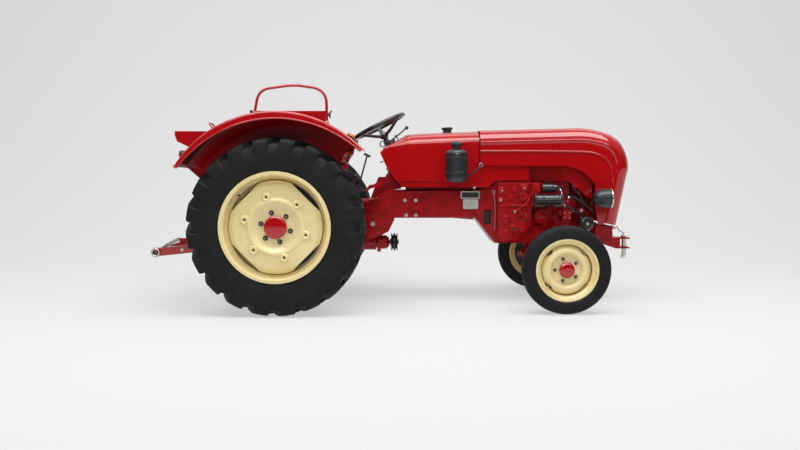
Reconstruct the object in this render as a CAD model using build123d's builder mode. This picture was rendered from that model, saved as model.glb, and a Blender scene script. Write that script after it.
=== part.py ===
# A small air-cooled farm tractor of about 1960, standing on its four wheels.
# Lengths are in millimetres. X points forward, Y to the tractor's left and Z up from the ground.
# Every piece is drawn with X measured from the rear axle. The finished pieces are then moved along X,
# so that the origin is on the ground in the middle of the whole tractor.
import os
from math import atan2, cos, radians, sin

from build123d import *

# Clearances
seat_gap = 0.3          # between a piece and the seat it rests in
running_gap = 0.3       # round a shaft that turns

# Rear wheels
rear_radius = 612.5     # ground to axle, out to the tips of the lugs
rear_track = 1350.0
rear_tyre_width = 290.0
lug_height = 30.0
lug_count = 20          # on each half of the tread
lug_width = 38.0
rear_rim_seat = 356.0   # radius of the bead seat
rear_rim_flange = 381.0
rear_rim_width = 262.0
rear_well_depth = 24.0
rear_disc_flat = 298.0  # axle to the straight edges of the disc
sheet = 7.0             # wall of the pressed rear wheels
front_sheet = 5.0
bead_width = 15.0

# Front wheels
front_radius = 310.0
front_track = 1300.0
front_tyre_width = 130.0
front_rim_seat = 204.0
front_rim_flange = 219.0
front_rim_width = 100.0
front_well_depth = 20.0
front_disc_flat = 165.0

# Gearbox, tunnel, clutch housing and crankcase, one behind the other
gearbox_rear = -280.0
gearbox_front = 804.0
gearbox_top = 785.0
gearbox_bottom = 470.0
gearbox_half = 165.0
trumpet_radius = 85.0
trumpet_end = 560.0
tunnel_top = 857.0
tunnel_bottom = 645.0
tunnel_half = 160.0
flange = 16.0           # thickness of the bolted flanges
flange_step = 8.0       # how far they stand out
clutch_length = 146.0
crankcase_rear_end = 442.0   # behind the front axle
crankcase_front_end = 118.0  # ahead of it
crankcase_half = 170.0
crankcase_top = 925.0
sump_bottom = 455.0

# Front axle and steering
wheelbase = 2004.0
kingpin_y = 530.0
kingpin_radius = 15.0
tie_arm = 140.0
drag_arm = 130.0
drag_arm_z = 540.0
drop_arm_length = 170.0

# Bonnet and tank cowl
seam_behind_axle = 564.0     # the joint of the two, behind the front axle
bonnet_half = 270.0
cowl_half = 252.0
cowl_bottom = 880.0
skin = 5.0              # sheet metal of bonnet and mudguards
panel_gap = 6.0
shoulder = 105.0        # rounding along the top edges

# Mudguards
guard_outer = 812.0     # lip, from the middle plane
guard_inner = 470.0
guard_clearance = 199.5      # outside of the arc over the tyre
guard_arc_x = 7.0            # centre of the arc, ahead of the axle
guard_arc_drop = 26.5        # and below it
guard_front_angles = {"right": 43.5, "left": 52.5}
guard_rear_angle = 147.0
guard_wall_setback = 5.0     # degrees from the sheet's front end back to the inner wall
guard_lip = 50.0
guard_lip_end = 24.0
guard_bead = 6.0             # radius of the wire in the rolled edge

# Rear linkage
link_pivot_x = -50.0
link_pivot_z = 497.0
link_end_x = -940.0
link_end_z = 404.0
link_y = 360.0
link_ball_radius = 34.0

# Front coupling
jaw_ahead_of_axle = 616.0

jaw_tip = wheelbase + jaw_ahead_of_axle
to_frame = Location((-(jaw_tip + link_end_x - link_ball_radius) / 2, 0, 0))

crankcase_rear = wheelbase - crankcase_rear_end
crankcase_front = wheelbase + crankcase_front_end
tunnel_front = crankcase_rear - clutch_length
seam_x = wheelbase - seam_behind_axle
guard_arc_z = rear_radius - guard_arc_drop
guard_arc_radius = rear_radius + guard_clearance
guard_top = guard_arc_z + guard_arc_radius
sides = (("right", -1), ("left", 1))

os.makedirs("parts", exist_ok=True)


def save(builder, name):
    """Moves the finished piece into the shared frame and writes it."""
    placed = builder.part.moved(to_frame)
    placed.label = name
    export_step(placed, f"parts/{name}.step")


def outward(side, x, y, z):
    """A plane through a wheel's axis. Its X points outward from the tractor and its Y up."""
    return Plane(origin=(x, side * y, z), x_dir=(0, side, 0), z_dir=(side, 0, 0))


def across(x, z):
    """The line along Y through that point of the side view."""
    return Axis((x, 0, z), (0, 1, 0))


def rim_outline(half, seat, flange, well, depth, wall):
    """A rolled rim as (width, radius): along the tyre's side, then back along the inside."""
    tyre_side = (
        (half, flange),
        (half, seat + 2),
        (half - bead_width, seat - seat_gap),
        (well + 20, seat - seat_gap),
        (well, seat - depth),
    )
    inside = (
        (well + 4, seat - depth - wall),
        (well + 24, seat - wall),
        (half - bead_width, seat - wall),
        (half + wall, seat - 2),
        (half + wall, flange),
    )
    left = [(-width, radius) for width, radius in tyre_side]
    return [*left, *tyre_side[::-1], *inside[::-1], *[(-width, radius) for width, radius in inside]]


def at_side(y):
    """The plane of a side view at that Y: its X is X and its Y is Z."""
    return Plane(origin=(0, y, 0), x_dir=(1, 0, 0), z_dir=(0, -1, 0))


# Rear wheels
rear_y = rear_track / 2
carcass_radius = rear_radius - lug_height
lug_top = rear_radius - 4.3     # a flat top, whose corners reach the full radius
for name, side in sides:
    middle = outward(side, 0, rear_y, rear_radius)
    axle = across(0, rear_radius)
    half = rear_tyre_width / 2

    with BuildPart() as rear_tyre:
        with BuildSketch(middle):
            with BuildLine():
                Polyline(
                    (-rear_rim_width / 2 + bead_width, rear_rim_seat + seat_gap),
                    (-half, rear_rim_seat + 115),
                    (-half + 17, carcass_radius - 16),
                    (-half + 55, carcass_radius),
                    (half - 55, carcass_radius),
                    (half - 17, carcass_radius - 16),
                    (half, rear_rim_seat + 115),
                    (rear_rim_width / 2 - bead_width, rear_rim_seat + seat_gap),
                    close=True,
                )
            make_face()
        revolve(axis=axle)
        for hand, phase in ((-1, 0), (1, 180 / lug_count)):
            with BuildPart(mode=Mode.PRIVATE) as lug:
                with BuildSketch(Plane.XY.offset(carcass_radius - 42)):
                    with BuildLine():
                        Polyline(
                            (58, hand * -10),
                            (58 - lug_width, hand * -10),
                            (-58, hand * (half - 8)),
                            (-58 + lug_width, hand * (half - 8)),
                            close=True,
                        )
                    make_face()
                extrude(amount=lug_top - carcass_radius + 42)
            for turn in range(lug_count):
                about = Rotation(0, phase + turn * 360 / lug_count, 0)
                add(Pos(0, side * rear_y, rear_radius) * about * lug.part)
    save(rear_tyre, f"rear_tyre_{name}")

    rim_half = rear_rim_width / 2
    dish_out = rim_half - 52
    weld = rear_rim_seat - rear_well_depth - sheet / 2
    with BuildPart() as rear_wheel:
        with BuildSketch(middle):
            with BuildLine():
                Polyline(
                    (dish_out - 60, weld),
                    (dish_out, 318),
                    (dish_out + 14, 290),
                    (dish_out + 14, 196),
                    (dish_out + 26, 180),
                    (dish_out - 6, 130),
                    (dish_out - 6, 60),
                    (dish_out - 6 - sheet, 60),
                    (dish_out - 6 - sheet, 132),
                    (dish_out + 26 - sheet, 184),
                    (dish_out + 14 - sheet, 196),
                    (dish_out + 14 - sheet, 288),
                    (dish_out - sheet, 314),
                    (dish_out - 60 - sheet, weld),
                    close=True,
                )
            make_face()
        revolve(axis=axle)
        with BuildSketch(at_side(side * rear_y)):
            with Locations((0, rear_radius)):
                with PolarLocations(rear_disc_flat + 50, 4, start_angle=45):
                    Rectangle(100, 400)
        extrude(amount=200, both=True, mode=Mode.SUBTRACT)
        with BuildSketch(middle):
            with BuildLine():
                outline = rim_outline(rim_half, rear_rim_seat, rear_rim_flange, 50, rear_well_depth, sheet)
                Polyline(*outline, close=True)
            make_face()
        revolve(axis=axle)
    save(rear_wheel, f"rear_wheel_{name}")

    hub_face = dish_out - 6
    with BuildPart() as rear_hub:
        with BuildSketch(middle):
            with BuildLine():
                Polyline(
                    (trumpet_end + running_gap - rear_y, 0),
                    (trumpet_end + running_gap - rear_y, 48),
                    (hub_face - sheet - 24, 60),
                    (hub_face - sheet - 24, 122),
                    (hub_face - sheet - seat_gap, 122),
                    (hub_face - sheet - seat_gap, 59),
                    (hub_face, 59),
                    (hub_face, 78),
                    (hub_face + 26, 78),
                    (hub_face + 34, 68),
                    (hub_face + 34, 0),
                    close=True,
                )
            make_face()
        revolve(axis=axle)
    save(rear_hub, f"rear_hub_{name}")

# Front wheels
front_y = front_track / 2
for name, side in sides:
    middle = outward(side, wheelbase, front_y, front_radius)
    axle = across(wheelbase, front_radius)
    half = front_tyre_width / 2

    with BuildPart() as front_tyre:
        with BuildSketch(middle):
            with BuildLine():
                Polyline(
                    (-front_rim_width / 2 + bead_width, front_rim_seat + seat_gap),
                    (-half, front_rim_seat + 48),
                    (-half + 8, front_radius - 22),
                    (-half + 20, front_radius - 6),
                    (-18, front_radius),
                    (18, front_radius),
                    (half - 20, front_radius - 6),
                    (half - 8, front_radius - 22),
                    (half, front_rim_seat + 48),
                    (front_rim_width / 2 - bead_width, front_rim_seat + seat_gap),
                    close=True,
                )
            make_face()
        revolve(axis=axle)
    save(front_tyre, f"front_tyre_{name}")

    rim_half = front_rim_width / 2
    weld = front_rim_seat - front_well_depth - front_sheet / 2
    with BuildPart() as front_wheel:
        with BuildSketch(middle):
            with BuildLine():
                Polyline(
                    (-10, weld),
                    (22, 160),
                    (34, 128),
                    (14, 96),
                    (14, 46),
                    (8, 46),
                    (8, 98),
                    (28, 130),
                    (16, 158),
                    (-16, weld),
                    close=True,
                )
            make_face()
        revolve(axis=axle)
        with BuildSketch(at_side(side * front_y)):
            with Locations((wheelbase, front_radius)):
                with PolarLocations(front_disc_flat + 30, 4, start_angle=45):
                    Rectangle(60, 200)
        extrude(amount=60, both=True, mode=Mode.SUBTRACT)
        with BuildSketch(middle):
            with BuildLine():
                seat, depth = front_rim_seat, front_well_depth
                outline = rim_outline(rim_half, seat, front_rim_flange, 18, depth, front_sheet)
                Polyline(*outline, close=True)
            make_face()
        revolve(axis=axle)
    save(front_wheel, f"front_wheel_{name}")

    with BuildPart() as front_hub:
        with BuildSketch(middle):
            with BuildLine():
                Polyline(
                    (-58, 17 + running_gap),
                    (-58, 44),
                    (-6, 52),
                    (-6, 100),
                    (8 - seat_gap, 100),
                    (8 - seat_gap, 45),
                    (14, 45),
                    (14, 54),
                    (44, 54),
                    (54, 42),
                    (54, 0),
                    (40, 0),
                    (40, 17 + running_gap),
                    close=True,
                )
            make_face()
        revolve(axis=axle)
    save(front_hub, f"front_hub_{name}")

# Gearbox with the axle trumpets, the shaft at the back and the belt drive underneath
belt_drive_x = 490.0
belt_drive_z = 450.0
belt_shaft_radius = 14.0
pedestal_half = 122.0
pedal_shaft = (704, 912)
pedal_y = 212.0
with BuildPart() as transaxle:
    with BuildSketch(at_side(0)):
        with BuildLine():
            Polyline(
                (gearbox_rear, gearbox_bottom),
                (gearbox_rear, gearbox_top),
                (gearbox_front - 224, gearbox_top),
                (gearbox_front - 183, gearbox_top + 10),
                (gearbox_front - 21, tunnel_top + 11),
                (gearbox_front, tunnel_top + 9),
                (gearbox_front, tunnel_bottom - 12),
                (gearbox_front - 44, tunnel_bottom - 102),
                (gearbox_front - 106, gearbox_bottom + 40),
                (gearbox_front - 204, gearbox_bottom),
                close=True,
            )
        make_face()
    extrude(amount=gearbox_half, both=True)
    for side in (-1, 1):
        with BuildSketch(at_side(side * gearbox_half)):
            with Locations((0, rear_radius)):
                Circle(125)
        extrude(amount=-side * 26)
        with BuildSketch(at_side(side * gearbox_half)):
            with Locations((0, rear_radius)):
                Circle(trumpet_radius)
        extrude(amount=-side * (trumpet_end - gearbox_half))
        with BuildSketch(at_side(side * (trumpet_end - 45))):
            with Locations((0, rear_radius)):
                Circle(135)
        extrude(amount=-side * 45)
    with BuildSketch(Plane.XZ):
        with BuildLine():
            Polyline(
                (belt_drive_x, belt_drive_z),
                (belt_drive_x, belt_drive_z + 60),
                (belt_drive_x + 170, belt_drive_z + 60),
                (belt_drive_x + 170, belt_drive_z + 44),
                (belt_drive_x + 180, belt_drive_z + 44),
                (belt_drive_x + 180, belt_drive_z + 77),
                (belt_drive_x + 208, belt_drive_z + 77),
                (belt_drive_x + 208, belt_drive_z + 54),
                (belt_drive_x + 250, belt_drive_z + 52),
                (belt_drive_x + 272, belt_drive_z + 34),
                (belt_drive_x + 272, belt_drive_z + belt_shaft_radius),
                (belt_drive_x + 348, belt_drive_z + belt_shaft_radius),
                (belt_drive_x + 348, belt_drive_z),
                close=True,
            )
        make_face()
    revolve(axis=Axis((0, 0, belt_drive_z), (1, 0, 0)))
    with BuildSketch(Plane.YZ.offset(belt_drive_x + 60)):
        with Locations((0, belt_drive_z + 30)):
            Rectangle(90, 60)
    extrude(amount=110)
    with BuildSketch(Plane.YZ.offset(gearbox_rear)):
        with Locations((0, rear_radius)):
            Circle(17.4)
    extrude(amount=-90)
    for side in (-1, 1):
        with BuildSketch(at_side(side * gearbox_half)):
            with Locations((link_pivot_x, link_pivot_z)):
                Circle(14)
        extrude(amount=-side * (link_y + 34 - gearbox_half))
    # the pedestal under the tank cowl, with the clutch and brake pedals on their cross shaft
    with BuildSketch(at_side(0)):
        with BuildLine():
            Polyline(
                (gearbox_front - 186, gearbox_top - 5),
                (gearbox_front - 122, tunnel_top + 98),
                (gearbox_front - 69, tunnel_top + 100),
                (gearbox_front - 53, tunnel_top + 131),
                (gearbox_front, tunnel_top + 68),
                (gearbox_front + 52, tunnel_top + 15),
                (gearbox_front + 52, tunnel_top + 9),
                (gearbox_front - 20, tunnel_top + 2),
                close=True,
            )
        make_face()
    extrude(amount=pedestal_half, both=True)
    with BuildSketch(at_side(0)):
        with Locations(pedal_shaft):
            Circle(12)
    extrude(amount=pedal_y + 8, both=True)
    for side in (-1, 1):
        with BuildSketch(at_side(side * (pedal_y - 7))):
            with BuildLine():
                Polyline(
                    (pedal_shaft[0] + 16, pedal_shaft[1] + 10),
                    (pedal_shaft[0] - 8, pedal_shaft[1] + 16),
                    (pedal_shaft[0] - 96, pedal_shaft[1] - 34),
                    (pedal_shaft[0] - 92, pedal_shaft[1] - 50),
                    (pedal_shaft[0] + 12, pedal_shaft[1] - 14),
                    close=True,
                )
            make_face()
        extrude(amount=-side * 14)
        pad = Plane(
            origin=(pedal_shaft[0] - 94, side * pedal_y, pedal_shaft[1] - 42),
            x_dir=(0, 1, 0),
            z_dir=(-0.8, 0, 0.6),
        )
        with BuildSketch(pad):
            RectangleRounded(72, 58, 10)
        extrude(amount=9)
    # ribs on both sides of the gearbox, from the axle forward
    for side in (-1, 1):
        for rib_z in (gearbox_bottom + 85, gearbox_bottom + 205):
            with BuildSketch(at_side(side * (gearbox_half - 4))):
                with BuildLine():
                    Polyline(
                        (110, rib_z - 5),
                        (110, rib_z + 5),
                        (gearbox_front - 60, rib_z + 5 + 20),
                        (gearbox_front - 60, rib_z - 5 + 20),
                        close=True,
                    )
                make_face()
            extrude(amount=-side * (4 + flange_step))
        with BuildSketch(at_side(side * (gearbox_half - 4))):
            with BuildLine():
                Polyline(
                    (gearbox_front - flange, tunnel_bottom - 10),
                    (gearbox_front, tunnel_bottom - 10),
                    (gearbox_front, tunnel_top),
                    (gearbox_front - flange, tunnel_top),
                    close=True,
                )
            make_face()
        extrude(amount=-side * (4 + flange_step))
save(transaxle, "transaxle")

pulley_radius = 70.0
with BuildPart() as belt_pulley:
    pulley_axis = Axis((0, 0, belt_drive_z), (1, 0, 0))
    with BuildSketch(Plane.XZ):
        with BuildLine():
            start = belt_drive_x + 278
            bore = belt_drive_z + belt_shaft_radius + running_gap
            rim = belt_drive_z + pulley_radius
            Polyline(
                (start, bore),
                (start, belt_drive_z + 26),
                (start + 10, belt_drive_z + 26),
                (start + 10, rim),
                (start + 15, rim),
                (start + 23, rim - 18),
                (start + 31, rim),
                (start + 39, rim),
                (start + 47, rim - 18),
                (start + 55, rim),
                (start + 60, rim),
                (start + 60, belt_drive_z + 22),
                (start + 66, belt_drive_z + 22),
                (start + 66, bore),
                close=True,
            )
        make_face()
    revolve(axis=pulley_axis)
save(belt_pulley, "belt_pulley")

with BuildPart() as tunnel:
    with BuildSketch(Plane.YZ.offset(gearbox_front)):
        with Locations((0, (tunnel_top + tunnel_bottom) / 2)):
            RectangleRounded(2 * tunnel_half, tunnel_top - tunnel_bottom, 14)
    extrude(amount=tunnel_front - gearbox_front)
    for start in (gearbox_front, tunnel_front - flange):
        with BuildSketch(Plane.YZ.offset(start)):
            with Locations((0, (tunnel_top + tunnel_bottom) / 2)):
                RectangleRounded(2 * (tunnel_half + flange_step), tunnel_top - tunnel_bottom, 14)
        extrude(amount=flange)
    with BuildSketch(Plane.XY.offset(tunnel_top - 4)):
        with Locations(((gearbox_front + 76 + tunnel_front) / 2, 0)):
            Rectangle(tunnel_front - gearbox_front - 96, 250)
    extrude(amount=cowl_bottom - tunnel_top + 4 - seat_gap)
save(tunnel, "drive_tunnel")

with BuildPart() as clutch_housing:
    with BuildSketch(Plane.YZ.offset(tunnel_front)):
        with Locations((0, (tunnel_top + tunnel_bottom) / 2)):
            RectangleRounded(2 * tunnel_half, tunnel_top - tunnel_bottom, 14)
    with BuildSketch(Plane.YZ.offset(crankcase_rear)):
        with Locations((0, (crankcase_top + sump_bottom) / 2)):
            RectangleRounded(400, crankcase_top - sump_bottom, 40)
    loft(ruled=True)
    with BuildSketch(at_side(-120)):
        with Locations((tunnel_front + 89, tunnel_bottom + 8)):
            RectangleRounded(56, 112, 16)
    extrude(amount=120, mode=Mode.SUBTRACT)
save(clutch_housing, "clutch_housing")

housing_step = 72.0     # the timing housing on the crankcase's right
bracket_top = 690.0
blower_z = 1000.0
blower_radius = 180.0
with BuildPart() as crankcase:
    with BuildSketch(at_side(0)):
        with BuildLine():
            Polyline(
                (crankcase_rear, sump_bottom),
                (crankcase_rear, crankcase_top),
                (crankcase_front, crankcase_top),
                (crankcase_front, 515),
                (wheelbase - 70, 515),
                (wheelbase - 90, sump_bottom),
                close=True,
            )
        make_face()
    extrude(amount=crankcase_half, both=True)
    with BuildSketch(at_side(-crankcase_half)):
        with BuildLine():
            Polyline(
                (crankcase_rear + 16, 480),
                (crankcase_rear + 16, crankcase_top - 8),
                (crankcase_rear + 266, crankcase_top - 8),
                (crankcase_rear + 266, 600),
                (crankcase_rear + 180, 480),
                close=True,
            )
        make_face()
    extrude(amount=housing_step)
    with BuildSketch(Plane.YZ.offset(crankcase_rear)):
        with Locations((0, (crankcase_top + sump_bottom) / 2)):
            RectangleRounded(412, crankcase_top - sump_bottom - 2, 40)
    extrude(amount=flange)
    for distance, z, radius, face, step in (
        # along from the crankcase's rear, height, radius, the wall it stands on, how far it stands out
        (225, 678, 34, housing_step, 10),
        (347, 662, 56, 0, 60),
        (139, 568, 24, housing_step, 14),
        (44, 855, 18, housing_step, 12),
        (211, 874, 18, housing_step, 12),
        (36, 784, 15, housing_step, 10),
        (110, 812, 30, housing_step, 8),
        (470, 590, 30, 0, 24),
    ):
        with BuildSketch(at_side(-crankcase_half - face)):
            with Locations((crankcase_rear + distance, z)):
                Circle(radius)
        extrude(amount=step)
    for low, high in (
        # corners of the ribs on the timing housing, along and up from the crankcase's rear
        ((22, 736), (262, 746)),
        ((150, 746), (158, 912)),
        ((84, 486), (92, 736)),
    ):
        with BuildSketch(at_side(-crankcase_half - housing_step)):
            with BuildLine():
                Polyline(
                    (crankcase_rear + low[0], low[1]),
                    (crankcase_rear + high[0], low[1]),
                    (crankcase_rear + high[0], high[1]),
                    (crankcase_rear + low[0], high[1]),
                    close=True,
                )
            make_face()
        extrude(amount=flange_step)
    with BuildSketch(Plane.YZ.offset(crankcase_front)):
        with Locations((0, (bracket_top + blower_z - blower_radius) / 2)):
            RectangleRounded(280, blower_z - blower_radius - bracket_top - 10, 20)
    extrude(amount=58)
save(crankcase, "crankcase")

cylinder_pitch = 175.0
cylinder_first = crankcase_rear + 175
fin_count = 8
with BuildPart() as cylinders:
    for number in range(2):
        x = cylinder_first + number * cylinder_pitch
        with BuildSketch(Plane.XY.offset(crankcase_top)):
            with Locations((x, 0)):
                Circle(62)
        extrude(amount=205)
        for fin in range(fin_count):
            with BuildSketch(Plane.XY.offset(crankcase_top + 14 + fin * 24)):
                with Locations((x, 0)):
                    Circle(84)
            extrude(amount=7)
        with BuildSketch(Plane.XY.offset(crankcase_top + 205)):
            with Locations((x, 0)):
                RectangleRounded(162, 170, 14)
        extrude(amount=62)
        with BuildSketch(Plane.XY.offset(crankcase_top + 267)):
            with Locations((x, 0)):
                RectangleRounded(130, 140, 20)
        extrude(amount=40)
save(cylinders, "cylinders")

with BuildPart() as cooling_duct:
    with BuildSketch(Plane.XY.offset(crankcase_top + seat_gap)):
        with BuildLine():
            Polyline(
                (cylinder_first - 95, -92),
                (cylinder_first - 95, -130),
                (crankcase_front + 30, -215),
                (crankcase_front + 30, -92),
                close=True,
            )
        make_face()
    extrude(amount=232)
    with BuildSketch(Plane.YZ.offset(crankcase_front + 30)):
        with Locations((0, blower_z)):
            Circle(blower_radius)
    extrude(amount=110)
    with BuildSketch(at_side(-197)):
        with BuildLine():
            Polyline(
                (wheelbase + 56, 937),
                (wheelbase + 96, 930),
                (wheelbase + 200, 850),
                (wheelbase + 246, 800),
                (wheelbase + 280, 800),
                (wheelbase + 280, 1150),
                (wheelbase + 56, 1150),
                close=True,
            )
        make_face()
    extrude(amount=18)
    with BuildSketch(Plane.YZ.offset(crankcase_front + 140)):
        with Locations((0, blower_z)):
            Circle(140)
            Circle(48, mode=Mode.SUBTRACT)
    extrude(amount=-60, mode=Mode.SUBTRACT)
save(cooling_duct, "cooling_duct")

with BuildPart() as starter:
    with BuildSketch(Plane.YZ.offset(wheelbase - 168)):
        with Locations((-292, 781)):
            Circle(50)
    extrude(amount=200)
    with BuildSketch(Plane.YZ.offset(wheelbase + 32)):
        with Locations((-292, 781)):
            Circle(38)
    extrude(amount=14)
    with BuildSketch(Plane.YZ.offset(wheelbase - 104)):
        with Locations((-270, 873)):
            Circle(33)
    extrude(amount=106)
    with BuildSketch(Plane.YZ.offset(wheelbase + 2)):
        with Locations((-270, 873)):
            Circle(20)
    extrude(amount=14)
    with BuildSketch(Plane.YZ.offset(wheelbase - 174)):
        with BuildLine():
            Polyline((-340, 740), (-340, 830), (-300, 905), (-238, 905), (-238, 740), close=True)
        make_face()
    extrude(amount=70)
    with BuildSketch(at_side(-crankcase_half)):
        with Locations((wheelbase - 124, 781)):
            Rectangle(60, 60)
    extrude(amount=100)
save(starter, "starter")

with BuildPart() as injection_pump:
    with BuildSketch(at_side(-crankcase_half)):
        with Locations((wheelbase + 84, 690)):
            RectangleRounded(64, 120, 10)
    extrude(amount=90)
    for x in (wheelbase + 69, wheelbase + 99):
        with BuildSketch(Plane.XY.offset(750)):
            with Locations((x, -215)):
                Circle(14)
        extrude(amount=42)
save(injection_pump, "injection_pump")

with BuildPart() as oil_filter:
    with BuildSketch(at_side(-60)):
        with Locations((wheelbase + 229, 610)):
            Circle(30)
    extrude(amount=165)
    with BuildSketch(at_side(-205)):
        with Locations((wheelbase + 229, 610)):
            Circle(54)
    extrude(amount=100)
    fillet(faces().sort_by(Axis.Y)[0].edges(), 14)
save(oil_filter, "oil_filter")

with BuildPart() as exhaust:
    for number in range(2):
        with BuildSketch(at_side(85)):
            with Locations((cylinder_first + number * cylinder_pitch, crankcase_top + 236)):
                Circle(22)
        extrude(amount=-85)
    with BuildSketch(Plane.YZ.offset(cylinder_first - 40)):
        with Locations((180, crankcase_top + 236)):
            Circle(28)
    extrude(amount=cylinder_pitch + 80)
    with BuildSketch(Plane.XY.offset(720)):
        with Locations((cylinder_first - 5, 204)):
            Circle(24)
    extrude(amount=crankcase_top + 236 - 720)
    with BuildSketch(Plane.YZ.offset(cylinder_first - 60)):
        with Locations((236, 690)):
            Circle(56)
    extrude(amount=380)
save(exhaust, "exhaust")

# Front bracket with its coupling jaw, and the axle it carries
hinge_x = wheelbase + 460
hinge_z = 572.0
hinge_radius = 8.0
axle_pin_z = 425.0
axle_pin_radius = 20.0
coupling_x = jaw_tip - 32
coupling_radius = 12.2
with BuildPart() as front_bracket:
    with BuildSketch(at_side(0)):
        with BuildLine():
            Polyline(
                (crankcase_front, 515),
                (crankcase_front, bracket_top),
                (wheelbase + 290, bracket_top),
                (wheelbase + 316, 586),
                (wheelbase + 442, 586),
                (wheelbase + 450, 490),
                (jaw_tip, 490),
                (jaw_tip, 478),
                (jaw_tip - 73, 478),
                (jaw_tip - 73, 416),
                (jaw_tip, 416),
                (jaw_tip, 404),
                (jaw_tip - 107, 404),
                (wheelbase + 431, 431),
                (wheelbase + 360, 475),
                (wheelbase + 326, 490),
                (wheelbase + 116, 490),
                (wheelbase + 96, 390),
                (wheelbase + 56, 390),
                (wheelbase + 56, 497),
                (wheelbase - 39, 497),
                (wheelbase - 39, 390),
                (wheelbase - 59, 390),
                (wheelbase - 59, 515),
                close=True,
            )
        make_face()
    extrude(amount=60, both=True)
    with BuildSketch(at_side(0)):
        with BuildLine():
            Polyline(
                (wheelbase + 316, 500),
                (wheelbase + 316, 586),
                (wheelbase + 442, 586),
                (wheelbase + 450, 500),
                close=True,
            )
        make_face()
    extrude(amount=190, both=True)
    for side in (-1, 1):
        with BuildSketch(at_side(side * 120)):
            with BuildLine():
                Polyline(
                    (hinge_x - 32, hinge_z - 22),
                    (hinge_x - 32, hinge_z + 14),
                    (hinge_x, hinge_z + 14),
                    (hinge_x + 12, hinge_z),
                    (hinge_x, hinge_z - 14),
                    close=True,
                )
            make_face()
        extrude(amount=-side * 28)
        with BuildSketch(at_side(side * 120)):
            with Locations((hinge_x, hinge_z)):
                Circle(hinge_radius)
        extrude(amount=-side * 70)
    with BuildSketch(Plane.XY.offset(380)):
        with Locations((coupling_x, 0)):
            Circle(coupling_radius + seat_gap)
    extrude(amount=130, mode=Mode.SUBTRACT)
    with BuildSketch(Plane.YZ.offset(wheelbase - 64)):
        with Locations((0, axle_pin_z)):
            Circle(axle_pin_radius + seat_gap)
    extrude(amount=185, mode=Mode.SUBTRACT)
save(front_bracket, "front_bracket")

with BuildPart() as coupling_pin:
    with BuildSketch(Plane.XY.offset(330)):
        with Locations((coupling_x, 0)):
            Circle(coupling_radius)
    extrude(amount=175)
    with BuildSketch(Plane.XY.offset(490 + seat_gap)):
        with Locations((coupling_x, 0)):
            Circle(19)
    extrude(amount=14)
    handle = [(coupling_x, 500), (coupling_x, 522), (coupling_x - 34, 540), (coupling_x - 52, 574)]
    with BuildLine(at_side(0)):
        FilletPolyline(*handle, radius=(14, 18))
    with BuildSketch(Plane.XY.offset(500)):
        with Locations((coupling_x, 0)):
            Circle(4.5)
    sweep()
save(coupling_pin, "coupling_pin")

beam_half = 34.0
sleeve_radius = 29.0
with BuildPart() as front_axle:
    with BuildSketch(Plane.YZ.offset(wheelbase - beam_half)):
        with BuildLine():
            Polyline(
                (-kingpin_y, 350),
                (-kingpin_y, 415),
                (-90, 468),
                (90, 468),
                (kingpin_y, 415),
                (kingpin_y, 350),
                (90, 385),
                (-90, 385),
                close=True,
            )
        make_face()
    extrude(amount=2 * beam_half)
    for side in (-1, 1):
        with BuildSketch(Plane.XY.offset(340)):
            with Locations((wheelbase, side * kingpin_y)):
                Circle(sleeve_radius)
        extrude(amount=112)
        with BuildSketch(Plane.XY.offset(330)):
            with Locations((wheelbase, side * kingpin_y)):
                Circle(kingpin_radius + running_gap)
        extrude(amount=140, mode=Mode.SUBTRACT)
    with BuildSketch(Plane.YZ.offset(wheelbase - 74)):
        with Locations((0, axle_pin_z)):
            Circle(axle_pin_radius)
    extrude(amount=190)
save(front_axle, "front_axle")

tie_z = 302.0
for name, side in sides:
    with BuildPart() as knuckle:
        with BuildSketch(Plane.XY.offset(275)):
            with Locations((wheelbase, side * kingpin_y)):
                Circle(kingpin_radius)
        extrude(amount=210)
        with BuildSketch(Plane.XY.offset(278)):
            with Locations((wheelbase, side * kingpin_y)):
                Circle(32)
        extrude(amount=60)
        with BuildSketch(at_side(side * kingpin_y)):
            with Locations((wheelbase, front_radius)):
                Circle(17)
        extrude(amount=-side * (front_y - kingpin_y + 38))
        with BuildSketch(Plane.XY.offset(tie_z - 20)):
            with BuildLine():
                Polyline(
                    (wheelbase, side * (kingpin_y - 22)),
                    (wheelbase, side * (kingpin_y + 22)),
                    (wheelbase - tie_arm, side * (kingpin_y + 16)),
                    (wheelbase - tie_arm - 16, side * kingpin_y),
                    (wheelbase - tie_arm, side * (kingpin_y - 16)),
                    close=True,
                )
            make_face()
        extrude(amount=14)
        with BuildSketch(Plane.XY.offset(tie_z - 6 + seat_gap)):
            with Locations((wheelbase - tie_arm, side * kingpin_y)):
                Circle(7)
        extrude(amount=30)
        with BuildSketch(Plane.XY.offset(tie_z - 6)):
            with Locations((wheelbase - tie_arm, side * kingpin_y)):
                Circle(7)
        extrude(amount=1)
        with BuildSketch(Plane.XY.offset(455)):
            with Locations((wheelbase, side * kingpin_y)):
                Circle(28)
        extrude(amount=22)
        if side > 0:
            with BuildSketch(Plane.XY.offset(477)):
                with Locations((wheelbase, kingpin_y)):
                    Circle(24)
            extrude(amount=drag_arm_z + 14 - 477)
            with BuildSketch(Plane.XY.offset(drag_arm_z)):
                with BuildLine():
                    Polyline(
                        (wheelbase - 24, kingpin_y),
                        (wheelbase + 24, kingpin_y),
                        (wheelbase + 15, kingpin_y - drag_arm),
                        (wheelbase, kingpin_y - drag_arm - 15),
                        (wheelbase - 15, kingpin_y - drag_arm),
                        close=True,
                    )
                make_face()
            extrude(amount=14)
    save(knuckle, f"knuckle_{name}")

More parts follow.
